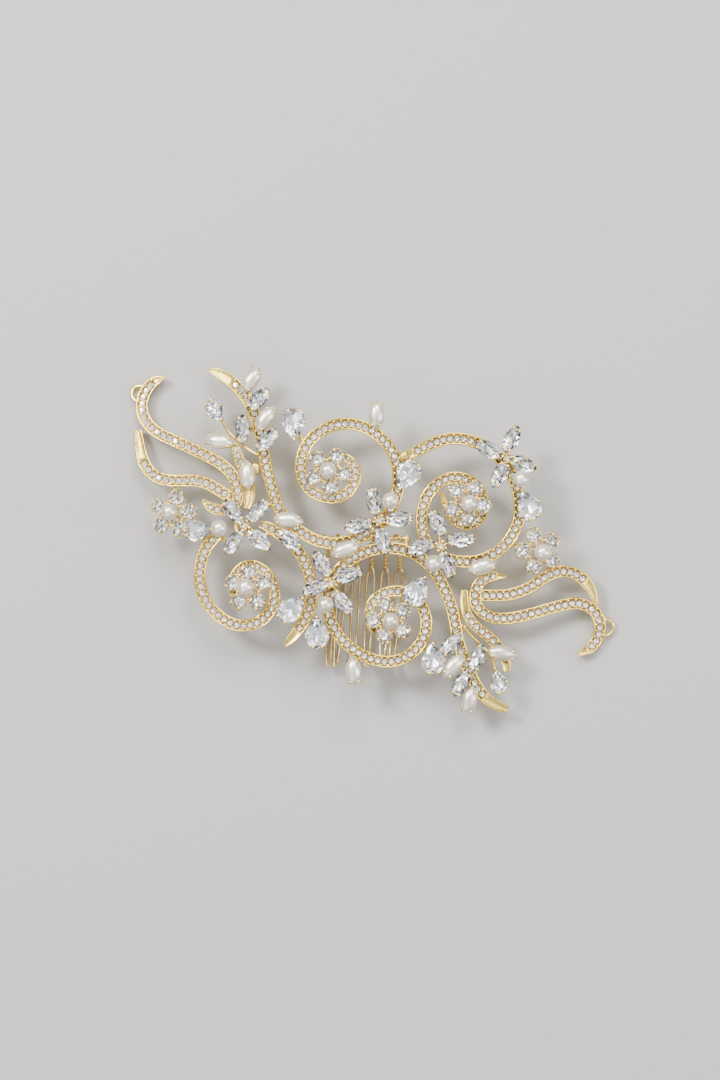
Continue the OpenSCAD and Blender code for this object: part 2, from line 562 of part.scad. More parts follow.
// One leg of a hairpin tine: twisted with its twin, spread apart, then closing towards the tip.
function tine_leg(x, tip, side) = concat(
    [for (i = [0:9])
        let (a = 60 * i, y = twist_from + (twist_to - twist_from) * i / 9)
        [x + side * 0.36 * cos(a), y, belly(y) + side * 0.36 * sin(a)]],
    [for (f = [0.05, 0.1, 0.25, 0.4, 0.55, 0.7, 0.85, 1])
        let (y = twist_to + (tip_y + 0.4 - twist_to) * f,
             spread = f < 0.08 ? 0.8 : 1.05 - 0.1 * f - 0.52 * pow(f, 4),
             lean = x + (tip - x) * f)
        [lean - side * spread, y, belly(y)]]
);

function tine(x, tip) =
    let (right = tine_leg(x, tip, -1), left = tine_leg(x, tip, 1), n = len(right) - 1)
    concat(right, [[tip, tip_y, belly(tip_y)]], [for (i = [n:-1:0]) left[i]]);

module comb_tines() {
    color(GOLD) for (i = [0:5])
        wire(tine(tine_first - i * tine_pitch, TINE_TIPS[i]), wire_r, 6, [0, 0, 1]);
}

ribbon_left_long();
ribbon_left_short();
strap_left();
stem_left();
branch_left();
scroll_lower_left();
stem_right();
scroll_upper_right();
arc_upper_right();
ribbon_right_long();
ribbon_right_short();
strap_right();
pave_ribbon_left_long();
pave_ribbon_left_short();
pave_strap_left();
pave_stem_left();
pave_branch_left();
pave_scroll_lower_left();
pave_stem_right();
pave_scroll_upper_right();
pave_arc_upper_right();
pave_ribbon_right_long();
pave_ribbon_right_short();
pave_strap_right();
rosette_setting(ROSETTES[0]);  // rosette_1_setting
rosette_setting(ROSETTES[1]);  // rosette_2_setting
rosette_setting(ROSETTES[2]);  // rosette_3_setting
rosette_setting(ROSETTES[3]);  // rosette_4_setting
rosette_setting(ROSETTES[4]);  // rosette_5_setting
rosette_setting(ROSETTES[5]);  // rosette_6_setting
rosette_stones(ROSETTES[0]);  // rosette_1_stones
rosette_stones(ROSETTES[1]);  // rosette_2_stones
rosette_stones(ROSETTES[2]);  // rosette_3_stones
rosette_stones(ROSETTES[3]);  // rosette_4_stones
rosette_stones(ROSETTES[4]);  // rosette_5_stones
rosette_stones(ROSETTES[5]);  // rosette_6_stones
flower_setting(0);  // flower_1_setting
flower_setting(1);  // flower_2_setting
flower_setting(2);  // flower_3_setting
flower_setting(3);  // flower_4_setting
flower_setting(4);  // flower_5_setting
flower_petals(0);  // flower_1_petals
flower_petals(1);  // flower_2_petals
flower_petals(2);  // flower_3_petals
flower_petals(3);  // flower_4_petals
flower_petals(4);  // flower_5_petals
round_pearls();
navette_settings();
navette_pearls();
pear_settings();
pear_stones();
sprig_settings();
sprig_stones();
sprig_wires();
bridge_plates();
end_loops();
comb_spine();
comb_posts();
comb_wrap();
comb_tines();
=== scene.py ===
# Looks for the decorative hair comb. Every length in the tables is in millimetres of the row frame.
import math
import random

import bpy
from mathutils import Matrix, Vector


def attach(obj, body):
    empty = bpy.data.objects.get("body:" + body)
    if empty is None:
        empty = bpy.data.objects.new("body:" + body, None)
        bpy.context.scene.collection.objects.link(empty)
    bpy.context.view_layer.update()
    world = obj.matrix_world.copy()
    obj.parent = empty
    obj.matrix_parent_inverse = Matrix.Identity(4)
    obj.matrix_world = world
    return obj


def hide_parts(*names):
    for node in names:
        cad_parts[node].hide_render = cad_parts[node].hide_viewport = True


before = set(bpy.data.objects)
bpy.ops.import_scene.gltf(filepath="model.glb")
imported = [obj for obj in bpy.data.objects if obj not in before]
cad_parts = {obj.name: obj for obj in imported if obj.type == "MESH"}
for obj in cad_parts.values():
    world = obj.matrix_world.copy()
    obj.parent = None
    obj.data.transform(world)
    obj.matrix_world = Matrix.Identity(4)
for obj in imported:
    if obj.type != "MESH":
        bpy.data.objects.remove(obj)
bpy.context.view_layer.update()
random.seed(7)
MM = 0.001

# Design tables, with the CAD source's numbers: centre lines, stones, pearls and wires. One wire in
# SPRIG_WIRES runs a little further here, into the stem. PLAIN is the bare metal at a band's two ends.
LINES = {
    "ribbon_left_long": [
        [-57.8, 44.9, 0.6], [-59.6, 44.5, 2.2], [-61.6, 43.3, 3.2], [-63.2, 41.2], [-64.1, 38.8],
        [-64.2, 36.2], [-63.5, 33.8], [-61.8, 31.4], [-59, 29.3], [-55, 27.4], [-50, 25.1], [-45.3, 22.8],
        [-41.5, 20.5], [-39, 17.9], [-37.8, 15.2], [-37.4, 12.3], [-37.9, 9.9, 3.2], [-39.6, 8.4, 3],
        [-41.9, 8.2, 3.2], [-44.4, 8.8, 3], [-46.1, 10, 2], [-47.1, 11.2, 0.6]
    ],
    "ribbon_left_short": [
        [-65.2, 30.5, 1.9], [-64.8, 27.5, 2.5], [-64.4, 24.5, 3.1], [-63.6, 21.6], [-62, 19.1],
        [-59.6, 17.3], [-56.5, 16.5], [-53, 16.4], [-49.5, 16.4], [-46.3, 15.7], [-43.3, 14.1],
        [-39.7, 11.8]
    ],
    "strap_left": [
        [-38.3, 26.4, 2], [-37.7, 24.2, 2.6], [-36.8, 21.8, 3], [-35.8, 19.2, 3], [-34.7, 16.6, 2.8],
        [-34.1, 14.2, 3], [-34.2, 11.4, 2.9], [-34.9, 8.6, 2]
    ],
    "stem_left": [
        [-45.4, 47.1, 1.6], [-43.3, 46.2, 2.6], [-40.9, 44.9, 3.2], [-38.2, 42.8], [-35.8, 40],
        [-34, 37.2], [-32.6, 34], [-31.5, 30.5], [-30.9, 27.2], [-30.3, 24.2], [-29.7, 21.2],
        [-29.1, 18.2], [-28.2, 15], [-27.2, 11.8], [-26, 8.8], [-24.2, 6], [-21.6, 3.5], [-18.6, 1.3],
        [-15.7, -0.1], [-12.8, -0.8], [-9.8, -0.9], [-6.8, -0.4], [-3.9, 0.7], [-1, 2.3], [1.6, 4.4],
        [3.8, 7], [5.4, 10], [6.4, 13.3], [6.8, 16.8], [6.5, 20.3], [5.4, 23.6], [3.4, 26.6], [0.8, 29],
        [-2.3, 30.8], [-5.6, 31.7], [-9, 31.8], [-12.3, 31], [-15.3, 29.3], [-17.7, 27], [-19.3, 24.1],
        [-20, 21], [-19.8, 17.9], [-18.6, 15.1], [-16.5, 13, 3.2], [-13.8, 11.8, 3.2],
        [-10.9, 11.5, 3.2], [-8.2, 12.3, 3.1], [-6.1, 14.1, 3], [-5, 16.6, 2.9], [-5, 19.3, 2.8],
        [-6.1, 21.5, 2.6], [-8.2, 22.8, 2.2]
    ],
    "branch_left": [
        [-31.2, 4.3, 2], [-29, 3.6, 3], [-26.3, 2], [-24, 0.3], [-22.2, -1.2], [-20.8, -2.9],
        [-19.5, -5], [-18.4, -7.3], [-17.6, -9.8], [-17.1, -12.4], [-17, -15], [-17.4, -17.6],
        [-18.2, -20.2], [-19.5, -22.8], [-21.1, -25.2, 3], [-22.8, -27.4, 2.4], [-24.4, -29, 1.1]
    ],
    "scroll_lower_left": [
        [-42, 1.9, 2.6], [-44.7, -0.4], [-46.5, -3.2], [-47.6, -6.5], [-47.9, -10], [-47.5, -13.3],
        [-46.2, -16.5], [-43.9, -19.6], [-40.8, -22], [-37.2, -23.4], [-33.4, -23.2], [-30.1, -21.5],
        [-27.9, -18.4], [-27.2, -14.8, 3.2], [-27.9, -11.4, 3.1], [-30, -8.5, 3], [-33, -6.9, 2.9],
        [-35.9, -7.4, 2.8], [-38, -9.4, 2.7], [-38.8, -12.1, 2.6], [-38.2, -14.9, 2.4], [-36.8, -17, 1.6]
    ],
    "stem_right": [
        [37.2, -46.9, 1.9], [35, -46.1, 2.7], [32.5, -44.8, 3.2], [30.1, -42.7], [28.3, -40.1],
        [26.8, -37.2], [25.5, -34.3], [24.3, -31.2], [23.4, -28.2], [22.7, -25.2], [22.2, -22.2],
        [21.5, -19.1], [20.5, -16], [19.2, -12.9], [17.6, -9.9], [15.5, -7.2], [12.8, -4.8], [9.8, -3.2],
        [6.5, -2.4], [3.1, -2.2], [-0.2, -2.7], [-3.4, -3.8], [-6.4, -5.5], [-9.1, -7.8], [-11.2, -10.7],
        [-12.5, -14], [-12.8, -17.5], [-12.2, -20.9], [-10.9, -24], [-8.9, -26.9], [-6.2, -29.5],
        [-3.2, -31.5], [0.2, -32.9], [3.8, -33.4], [7.3, -32.8], [10.4, -31.1], [12.8, -28.4],
        [14.1, -25.1], [14.3, -21.5], [13.2, -18.1], [11, -15.6, 3.3], [8, -14.2, 3.2], [4.8, -14.1, 3.1],
        [1.8, -15, 3], [-0.4, -17.1, 2.9], [-1.4, -19.9, 2.8], [-1, -22.8, 2.6], [0.5, -25, 2]
    ],
    "scroll_upper_right": [
        [14.7, -0.8, 2.8], [13.6, 2], [13.1, 5], [13.3, 8], [14.2, 11], [15.9, 13.8], [18.3, 15.9],
        [21.2, 17], [24.2, 16.9], [27, 15.6], [29.1, 13.3, 3.3], [30.1, 10.4, 3.2], [29.8, 7.4, 3.1],
        [28.1, 5, 3], [25.5, 4.2, 2.9], [22.9, 4.9, 2.7], [21, 6.7, 2.5], [19.9, 9, 2.2],
        [19.1, 11.3, 2], [18.5, 13.1, 1.3]
    ],
    "arc_upper_right": [
        [9.6, 23.2, 2.6], [12, 24.4, 3.3], [14.9, 25.9], [17.9, 27.1], [21, 27.8], [24.3, 27.7],
        [27.5, 26.9], [30.5, 25.6], [33.2, 23.7], [35.5, 21.4], [37.4, 18.8], [38.8, 15.9],
        [39.7, 12.8], [40.1, 9.5], [39.9, 6.3], [39.1, 3.3], [37.6, 0.5], [35.6, -1.9], [33, -3.9],
        [30, -5.3], [26.9, -5.9], [23.8, -5.9], [20.9, -5.2, 3], [19, -4.2, 2.4]
    ],
    "ribbon_right_long": [
        [36.4, -10.3, 0.6], [34.9, -10, 1.8], [32.8, -10, 2.8], [30.6, -10.7, 3], [28.8, -12.3, 3.2],
        [27.9, -14.7], [28, -17.2], [29.2, -19.2], [31.1, -20.7], [33.7, -21.5], [36.8, -21.6],
        [40.2, -21.1], [44.2, -20.2], [48.5, -19], [52.5, -18], [56, -17.5], [59.2, -18.3],
        [61.5, -20.2], [62.6, -22.8], [62.7, -25.4], [61.9, -27.8], [60.2, -29.8, 3.1], [58.2, -31.1, 2],
        [56.6, -31.7, 0.6]
    ],
    "ribbon_right_short": [
        [29.1, -15.2], [33.5, -15.3], [37, -15.1], [40.5, -14.2], [43.8, -12.6], [47, -10.5], [50.2, -9],
        [53.3, -8.7], [56, -9.6], [58.3, -11.3], [60, -13.6, 3], [61.1, -15.9, 2],
        [61.9, -17.9, 1]
    ],
    "strap_right": [
        [24.9, -13.7, 2], [24.8, -16.5, 2.5], [25.3, -19.3, 2.8], [26.6, -22, 3], [28.8, -24.4, 3.1],
        [31.3, -26.3, 3.2], [33.5, -28.5, 3.2], [35.3, -30.9, 3.1], [36.4, -33.6, 2.7], [36.7, -36.3, 2]
    ],
}
PLAIN = {
    "ribbon_left_long": (4.6, 3.2),
    "ribbon_left_short": (9.6, 1.8),
    "strap_left": (1.4, 7.6),
    "stem_left": (8.6, 1.4),
    "branch_left": (1.4, 6.4),
    "scroll_lower_left": (1.2, 1.8),
    "stem_right": (8.6, 1.4),
    "scroll_upper_right": (1, 4.6),
    "arc_upper_right": (2.8, 1.2),
    "ribbon_right_long": (3.6, 4.6),
    "ribbon_right_short": (1.8, 8.4),
    "strap_right": (7.2, 3.6),
}
ROSETTES = [
    [-55.2, 7.2, 6, 8], [-12.4, 18.9, 61, 0], [25.5, 10.3, 61, 8], [-34.4, -13.2, 17, 10],
    [4.3, -22, 35, 3], [45.3, -2.9, 37, 10]
]
FLOWERS = [
    [[-38.5, 7.9, 125], [-31.7, 7.9, 46], [-38.3, -0.6, 236], [-31.4, 0, -40]],
    [[-14.1, -6.6, 122], [-6.8, -9.6, 17], [-8.7, -17, -51], [-15.8, -12.9, 203]],
    [[17.3, 4.6, 118], [23.8, 0.2, 2], [12.8, -1.9, 197], [20, -6.7, -67]],
    [[0, 10.6, 100], [6.9, 5.7, 8], [-4.1, 3.9, 192], [2.4, -0.2, -72]],
    [[37.7, 27.6, 63], [31.4, 24.8, 152], [40.8, 20.9, -21], [34.4, 18, 243]]
]
FLOWER_HEARTS = [[-35.3, 3.9], [-11.6, -11.7], [18.3, -1.6], [1.6, 5.4], [36.6, 22.4]]
FLOWER_PEARLS = [[-42, 3.1], [-13.3, -17.6], [16.1, -6.3], [4.5, 10.7], [40, 16.8]]
NAVETTES = [
    [-33.7, 44.2, 55], [-29.9, 33.3, 54], [-42.7, 27.3, -10], [-34.8, 17.9, 95], [-23.5, 5.5, -7],
    [-7.9, -2.6, 20], [0.7, 34.3, 88], [29.9, -7.3, 15], [-5.5, -36, 95], [21.9, -34.7, 50],
    [26.4, -44.2, 76], [35.4, -31.2, -10]
]
SPRIGS = [
    [-31.6, 38.6, 46], [-29.2, 27.4, 45], [-36, 30.4, 90], [-23.1, -0.1, -43], [28.4, -32.3, 70],
    [21.2, -28.6, 42], [23.9, -39.4, 60]
]
PEARS = [
    [-43.6, 35.5, -55, 0.76], [-21.9, 31.6, -88, 1], [9.1, 17.6, 240, 1], [42.3, 9.8, 115, 1],
    [-48.2, 2.6, 5, 0.88], [-22.4, -18.8, 45, 1], [-15.5, -25.2, 92, 1], [11.8, -13.8, 60, 1],
    [16.2, -32.4, 92, 1], [34.3, -39, 102, 0.76]
]
LOOPS = [[-64.9, 40.6, 165], [64.4, -24.2, -3]]
SPRIG_WIRES = [
    [[-42.6, 34, 1.9], [-41.3, 32.2, 1.7], [-40, 29.8, 1.4], [-38, 27.9, 1.2], [-35.2, 25.4, 1],
     [-32.2, 23.6, 1]],
    [[33.9, -37.4, 1.9], [33.2, -34.8, 1.7], [32.2, -32, 1.2], [30.2, -29.6, 0.2],
     [27.4, -26.8, 0.2], [24.9, -24.2, 0.3], [23.7, -23, 0.6]]
]
TABS = [
    [-33.7, 44.2, -36.2, 40.6], [-29.9, 33.3, -32.8, 33.6], [-42.7, 27.3, -38.2, 25.6],
    [0.7, 34.3, -0.4, 29.8], [-5.5, -36, -4, -31.2], [21.9, -34.7, 24.8, -32.6],
    [26.4, -44.2, 28.8, -41], [-31.6, 38.6, -34.8, 38.4], [-36, 30.4, -31.6, 30.8],
    [28.4, -32.3, 24.8, -32.6], [23.9, -39.4, 27.4, -38.4], [-21.9, 31.6, -18.8, 25.6],
    [-49.2, 2.9, -45.2, -1], [-26.9, -18, -17.4, -18], [-19.8, -23.6, -10.4, -25],
    [16.2, -32.4, 12.6, -28.8], [-55, 11.6, -54.6, 16.8], [41, -2.9, 37.4, 0.2],
    [48.9, -5.5, 47.8, -10.2], [-7.9, -1, -6.6, -5.4], [2, 4.8, 3.2, -2.2], [-37.9, -0.2, -37.6, 9.6],
    [-43.4, 0.8, -38.3, -0.6], [-31.4, 8.2, -27, 10.6], [-31.4, 0, -27.6, 2.8], [-23.6, 0.4, -21, 3],
    [-17.2, -13, -12.3, -13.4], [13, -4.8, 14.3, 0.4], [16.6, -7.8, 20.6, -5.2],
    [31, -5, 31.6, -10.2], [9.2, 0.4, 9.2, -3.2], [8.9, 17.6, 6.2, 17.6]
]
PEGS = [
    [-34.1, 43.6], [-30.6, 33.4], [-42, 27], [0.5, 33.6], [-5.3, -35.3], [22.5, -34.3], [26.8, -43.6],
    [-32.3, 38.6], [-35.3, 30.5], [27.7, -32.4], [24.6, -39.2], [-21.6, 31], [-48.4, 2.2], [-22.4, -18],
    [-15.2, -24.3], [15.7, -31.9], [-55, 12.3], [40.4, -2.4], [48.7, -6.3], [-39, -0.4], [-30.8, 8.4],
    [-30.8, 0.4]
]
SADDLES = [
    [[6.9, 23.2], [7.6, 24.2], [9.4, 24.5], [9.6, 21.9], [8, 21.6], [7.6, 21.2]],
    [[-34.2, 21], [-31.5, 21.4], [-31, 18.3], [-32.6, 17.6], [-33.4, 17]],
    [[23.4, -18.2], [24, -18], [24.4, -21.8], [23.9, -22.6]],
    [[24.2, -23.6], [25.6, -23], [25.4, -24.2], [24.5, -25.2]]
]
TINE_TIPS = [4.9, 2.4, -2, -6, -10.5, -12.5]

BOW = math.radians(-28.6)
BOW_MIDDLE = -3.8
BOW_RADIUS = 240.0
CROWN = 11.1
BAND_W, BAND_H, FLOOR_H, RIM_W = 3.4, 2.0, 1.0, 0.5
PAVE_D, PAVE_PITCH = 1.5, 1.9
PAVE_H = BAND_H - FLOOR_H - 0.05
PAVE_GROWTH, PAVE_TILT = 1.15, 0.07
SEAT_H, LIFT = 2.0, 2.5
LEAN = 3.2
RING_R, ROUND_D, ROUND_H = 4.6, 4.3, 2.1
MARQ_L, MARQ_W, FANCY_H = 8.4, 4.3, 1.9
PEAR_L, PEAR_W = 9.0, 6.6
PEARL_D, NAV_L, NAV_W = 4.6, 8.6, 4.4
WIRE_R, SPRIG_WIRE_R, STRAND_R = 0.35, 0.46, 0.36
LOOP_R, LOOP_WIRE_R = 2.2, 0.44
POST_R, POST_FOOT = 0.8, 8.0
SPINE_Y, SPINE_R, SPINE_Z, SPINE_FROM, SPINE_TO = 0.5, 0.6, 8.7, -14.4, 8.4
TINE_PITCH, TINE_FIRST, TWIST_FROM, TWIST_TO, BELLY_Y = 3.95, 7.3, -0.9, -7.9, -21.0
TINE_REACH = 35.5
TIP_Y = SPINE_Y - TINE_REACH


def bow_run(x, y):
    """Distance along the bow from its highest point."""
    return x * math.cos(BOW) + y * math.sin(BOW) - BOW_MIDDLE


def bed(x, y):
    """Height of the bands' underside."""
    return CROWN - bow_run(x, y) ** 2 / (2 * BOW_RADIUS)


def bow_tilt(x, y):
    return math.atan(bow_run(x, y) / BOW_RADIUS)


def seat(x, y, lift=0.0, turn=0.0, lean=LEAN):
    """Matrix, in mm, of a seat on the bowed frame whose axis passes over x, y at height lean."""
    back = lean * math.sin(bow_tilt(x, y))
    fx, fy = x - back * math.cos(BOW), y - back * math.sin(BOW)
    return (
        Matrix.Translation((fx, fy, bed(fx, fy)))
        @ Matrix.Rotation(BOW, 4, "Z")
        @ Matrix.Rotation(bow_tilt(x, y), 4, "Y")
        @ Matrix.Rotation(math.radians(turn) - BOW, 4, "Z")
        @ Matrix.Translation((0, 0, lift))
    )


def hermite(a, b, c, d, t):
    square = 2 * a - 5 * b + 4 * c - d
    cube = 3 * b - a - 3 * c + d
    return 0.5 * (2 * b + (c - a) * t + square * t * t + cube * t * t * t)


def smooth(line, k):
    """Catmull-Rom curve through the line's points, k steps to each span."""
    pts = [Vector(p if len(p) > 2 else (p[0], p[1], BAND_W)) for p in line]
    at = lambda i: pts[max(0, min(len(pts) - 1, i))]
    out = []
    for i in range(len(pts) - 1):
        for j in range(k):
            out.append(hermite(at(i - 1), at(i), at(i + 1), at(i + 2), j / k))
    out.append(pts[-1])
    return out


class Shape:
    """Faces gathered for one piece: vertices in mm, a material index and smoothness for each face."""

    def __init__(self):
        self.verts, self.faces, self.mats, self.smooth = [], [], [], []

    def add(self, verts, faces, matrix=None, mat=0, soft=True):
        base = len(self.verts)
        self.verts += [matrix @ Vector(v) if matrix is not None else Vector(v) for v in verts]
        for n, f in enumerate(faces):
            self.faces.append([base + i for i in f])
            self.mats.append(mat[n] if isinstance(mat, list) else mat)
            self.smooth.append(soft)

    def build(self, name, materials, slot, replaces):
        mesh = bpy.data.meshes.new(name)
        mesh.from_pydata([tuple(v * MM) for v in self.verts], [], self.faces)
        mesh.polygons.foreach_set("material_index", self.mats)
        mesh.polygons.foreach_set("use_smooth", self.smooth)
        for m in materials:
            mesh.materials.append(m)
        mesh.validate()
        mesh.update()
        obj = bpy.data.objects.new(name, mesh)
        bpy.context.scene.collection.objects.link(obj)
        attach(obj, "root")
        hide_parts(*replaces)


def grid_faces(rows, cols):
    """Quads between rows of points, each row closed into a ring."""
    out = []
    for i in range(rows - 1):
        for j in range(cols):
            k = (j + 1) % cols
            out.append([i * cols + j, i * cols + k, (i + 1) * cols + k, (i + 1) * cols + j])
    return out


def capped_grid(rows, cols):
    """The faces of a closed tube: its wall, then a cap at each end."""
    first, last = range(cols), range((rows - 1) * cols, rows * cols)
    return grid_faces(rows, cols) + [list(first)[::-1], list(last)]


def revolve(shape, profile, matrix, sides):
    """Turns a profile of (radius, height) about Z and closes both its ends."""
    verts = []
    for r, z in profile:
        for j in range(sides):
            a = 2 * math.pi * j / sides
            verts.append((r * math.cos(a), r * math.sin(a), z))
    shape.add(verts, capped_grid(len(profile), sides), matrix)


def tube(shape, path, radii, sides, matrix=None, mat=0):
    """A round-ended wire along a path of points, its radius a number or one for each point."""
    pts = [Vector(p) for p in path]
    radii = list(radii) if hasattr(radii, "__len__") else [radii] * len(pts)
    for end in (0, -1):
        a, b = (pts[0], pts[1]) if end == 0 else (pts[-1], pts[-2])
        out = (a - b).normalized()
        r = radii[end]
        extra = [(a + out * r * 0.55, r * 0.8), (a + out * r * 0.92, r * 0.38)]
        for q, s in extra:
            if end == 0:
                pts.insert(0, q)
                radii.insert(0, s)
            else:
                pts.append(q)
                radii.append(s)
    n = len(pts)
    tan = [(pts[min(n - 1, i + 1)] - pts[max(0, i - 1)]).normalized() for i in range(n)]
    ref = Vector((0, 0, 1)) if abs(tan[0].z) < 0.8 else Vector((1, 0, 0))
    side = tan[0].cross(ref).normalized()
    verts = []
    for i in range(n):
        side = (side - tan[i] * side.dot(tan[i])).normalized()
        up = tan[i].cross(side)
        for j in range(sides):
            a = 2 * math.pi * j / sides
            verts.append(pts[i] + (side * math.cos(a) + up * math.sin(a)) * radii[i])
    shape.add(verts, capped_grid(n, sides), matrix, mat)


PHI = (1 + 5 ** 0.5) / 2
ICO_V = [Vector(v).normalized() for v in [
    (-1, PHI, 0), (1, PHI, 0), (-1, -PHI, 0), (1, -PHI, 0), (0, -1, PHI), (0, 1, PHI),
    (0, -1, -PHI), (0, 1, -PHI), (PHI, 0, -1), (PHI, 0, 1), (-PHI, 0, -1), (-PHI, 0, 1)]]
ICO_F = [(0, 11, 5), (0, 5, 1), (0, 1, 7), (0, 7, 10), (0, 10, 11), (1, 5, 9), (5, 11, 4), (11, 10, 2),
         (10, 7, 6), (7, 1, 8), (3, 9, 4), (3, 4, 2), (3, 2, 6), (3, 6, 8), (3, 8, 9), (4, 9, 5),
         (2, 4, 11), (6, 2, 10), (8, 6, 7), (9, 8, 1)]


def subdivide(verts, faces):
    """Each triangle of a unit ball cut into four."""
    verts, seen, out = list(verts), {}, []

    def mid(a, b):
        key = (min(a, b), max(a, b))
        if key not in seen:
            verts.append((verts[a] + verts[b]).normalized())
            seen[key] = len(verts) - 1
        return seen[key]

    for a, b, c in faces:
        x, y, z = mid(a, b), mid(b, c), mid(c, a)
        out += [(a, x, z), (b, y, x), (c, z, y), (x, y, z)]
    return verts, out


BEAD_VERTS, BEAD_FACES = subdivide(ICO_V, ICO_F)


def bead(shape, centre, r, matrix=None, squash=1.0, mat=0):
    """A small ball, such as a solder bead or a claw's tip, flattened by squash."""
    c = Vector(centre)
    verts = [c + Vector((v.x * r, v.y * r, v.z * r * squash)) for v in BEAD_VERTS]
    shape.add(verts, BEAD_FACES, matrix, mat)


# ---- outlines and cut stones ----------------------------------------------------------------

def round_outline(d):
    """Each outline gives the point at a fraction of the way round, from 0 to 1."""
    return lambda t: Vector((d / 2 * math.cos(2 * math.pi * t), d / 2 * math.sin(2 * math.pi * t), 0))


def marquise_outline(l, w):
    """Two equal arcs that meet in a point at each end."""
    r = (l * l + w * w) / (4 * w)
    a = math.asin(l / 2 / r)

    def at(t):
        t %= 1.0
        s = -1 if t > 0.5 else 1
        u = t * 2 if t <= 0.5 else (1 - t) * 2
        ang = a * (1 - 2 * u)
        return Vector((r * math.sin(ang), s * (r * math.cos(ang) - r + w / 2), 0))

    return at


def pear_outline(l, w):
    """A round end at -X and gently bowed sides that meet in a point at +X."""
    r = w / 2
    point = l - r
    a = math.acos(r / point)
    side = math.sqrt(point * point - r * r)
    arc = r * (math.pi - a)
    full = side + arc

    def at(t):
        t %= 1.0
        s = -1 if t > 0.5 else 1
        u = (t * 2 if t <= 0.5 else (1 - t) * 2) * full
        if u < side:
            f = u / side
            x, y = point + (r * math.cos(a) - point) * f, r * math.sin(a) * f
            y += 0.1 * r * math.sin(math.pi * f)
        else:
            ang = a + (u - side) / r
            x, y = r * math.cos(ang), r * math.sin(ang)
        return Vector((x + r - l / 2, s * y, 0))

    return at


def cut_stone(shape, outline, h, matrix, n=8, table=0.56, g0=0.52, g1=0.6, keel=0.0, jitter=0.0):
    """A brilliant-type cut: table, star, kite and girdle facets (0, clear) over a pavilion (1, foil)."""
    mid_z = g1 + (1 - g1) * 0.56
    pav_z = g0 * 0.42
    start = 0
    verts = []

    def ring(count, off, scale, z):
        nonlocal start
        ids = []
        for i in range(count):
            p = outline((i + off) / count) * scale
            verts.append((p.x, p.y, z * h + (random.uniform(-jitter, jitter) if jitter else 0)))
            ids.append(start)
            start += 1
        return ids

    # From the top down: table, star points, girdle's top and foot, pavilion, keel or point.
    t = ring(n, 0, table, 1)
    m = ring(n, 0.5, table + (1 - table) * 0.52, mid_z)
    g = ring(2 * n, 0, 1, g1)
    b = ring(2 * n, 0, 1, g0)
    p = ring(n, 0.5, 0.5, pav_z)
    c = ring(n, 0, keel, 0) if keel else None
    if not keel:
        verts.append((0, 0, 0))
        tip = start
    faces, mats = [t], [0]

    def put(f, k):
        faces.append(f)
        mats.append(k)

    for i in range(n):
        j = (i + 1) % n
        q = (i - 1) % n
        put([t[j], t[i], m[i]][::-1], 0)
        put([m[q], g[2 * i], m[i], t[i]], 0)
        put([m[i], g[2 * i], g[2 * i + 1]], 0)
        put([m[i], g[2 * i + 1], g[(2 * i + 2) % (2 * n)]], 0)
        for e in (2 * i, 2 * i + 1):
            f = (e + 1) % (2 * n)
            put([g[e], b[e], b[f], g[f]], 1)
        put([p[i], b[2 * i + 1], b[2 * i]], 1)
        put([p[i], b[(2 * i + 2) % (2 * n)], b[2 * i + 1]], 1)
        if keel:
            put([c[i], p[i], b[2 * i], p[q]], 1)
            put([c[i], c[j], p[i]], 1)
        else:
            put([tip, p[i], b[2 * i], p[q]], 1)
    if keel:
        faces.append(c[::-1])
        mats.append(1)
    shape.add(verts, faces, matrix, mats, False)


def claw(shape, matrix, foot, girdle, inward, z0, zg, ztop, r, reach):
    """A claw from its foot up past the girdle and bent over the stone's edge, ending in a small ball."""
    foot, girdle, inward = Vector(foot), Vector(girdle), Vector(inward).normalized()
    up = Vector((0, 0, 1))
    path = [
        foot + up * z0,
        foot.lerp(girdle, 0.5) + up * (z0 + (zg - z0) * 0.5),
        girdle + up * zg,
        girdle + inward * reach * 0.35 + up * (zg + (ztop - zg) * 0.62),
        girdle + inward * reach + up * ztop,
    ]
    tube(shape, path, [r * 0.85, r * 0.9, r, r * 1.05, r * 1.1], 8, matrix, 3)
    bead(shape, girdle + inward * reach * 0.8 + up * ztop, r * 1.6, matrix, 0.8, 3)


def wall(shape, outline, s0, s1, z0, z1, matrix, n=40):
    """A thin gallery wall that follows an outline between scales s0 and s1, its top edge rounded."""
    lip = z1 - 0.06
    section = [(s1, z0), (s1, lip), (s1 - 0.02, z1), (s0 + 0.02, z1), (s0, lip), (s0, z0)]
    verts = []
    for s, z in section:
        for i in range(n):
            p = outline(i / n) * s
            verts.append((p.x, p.y, z))
    faces = grid_faces(6, n)
    for i in range(n):
        k = (i + 1) % n
        faces.append([5 * n + i, 5 * n + k, k, i])
    shape.add(verts, faces, matrix)


# ---- materials --------------------------------------------------------------------------------

def nodes_of(name):
    """A new node material: the material, its tree and its main shader."""
    m = bpy.data.materials.new(name)
    m.use_nodes = True
    nt = m.node_tree
    return m, nt, nt.nodes["Principled BSDF"]


def noise(nt, scale, detail, coords, rough=0.55):
    """Noise in the object's own space."""
    t = nt.nodes.new("ShaderNodeTexNoise")
    t.inputs["Scale"].default_value = scale
    t.inputs["Detail"].default_value = detail
    t.inputs["Roughness"].default_value = rough
    nt.links.new(coords.outputs["Object"], t.inputs["Vector"])
    return t


def ramp(nt, source, lo, hi, a, b):
    r = nt.nodes.new("ShaderNodeValToRGB")
    r.color_ramp.elements[0].position = lo
    r.color_ramp.elements[1].position = hi
    r.color_ramp.elements[0].color = (*a, 1)
    r.color_ramp.elements[1].color = (*b, 1)
    nt.links.new(source.outputs[0], r.inputs[0])
    return r


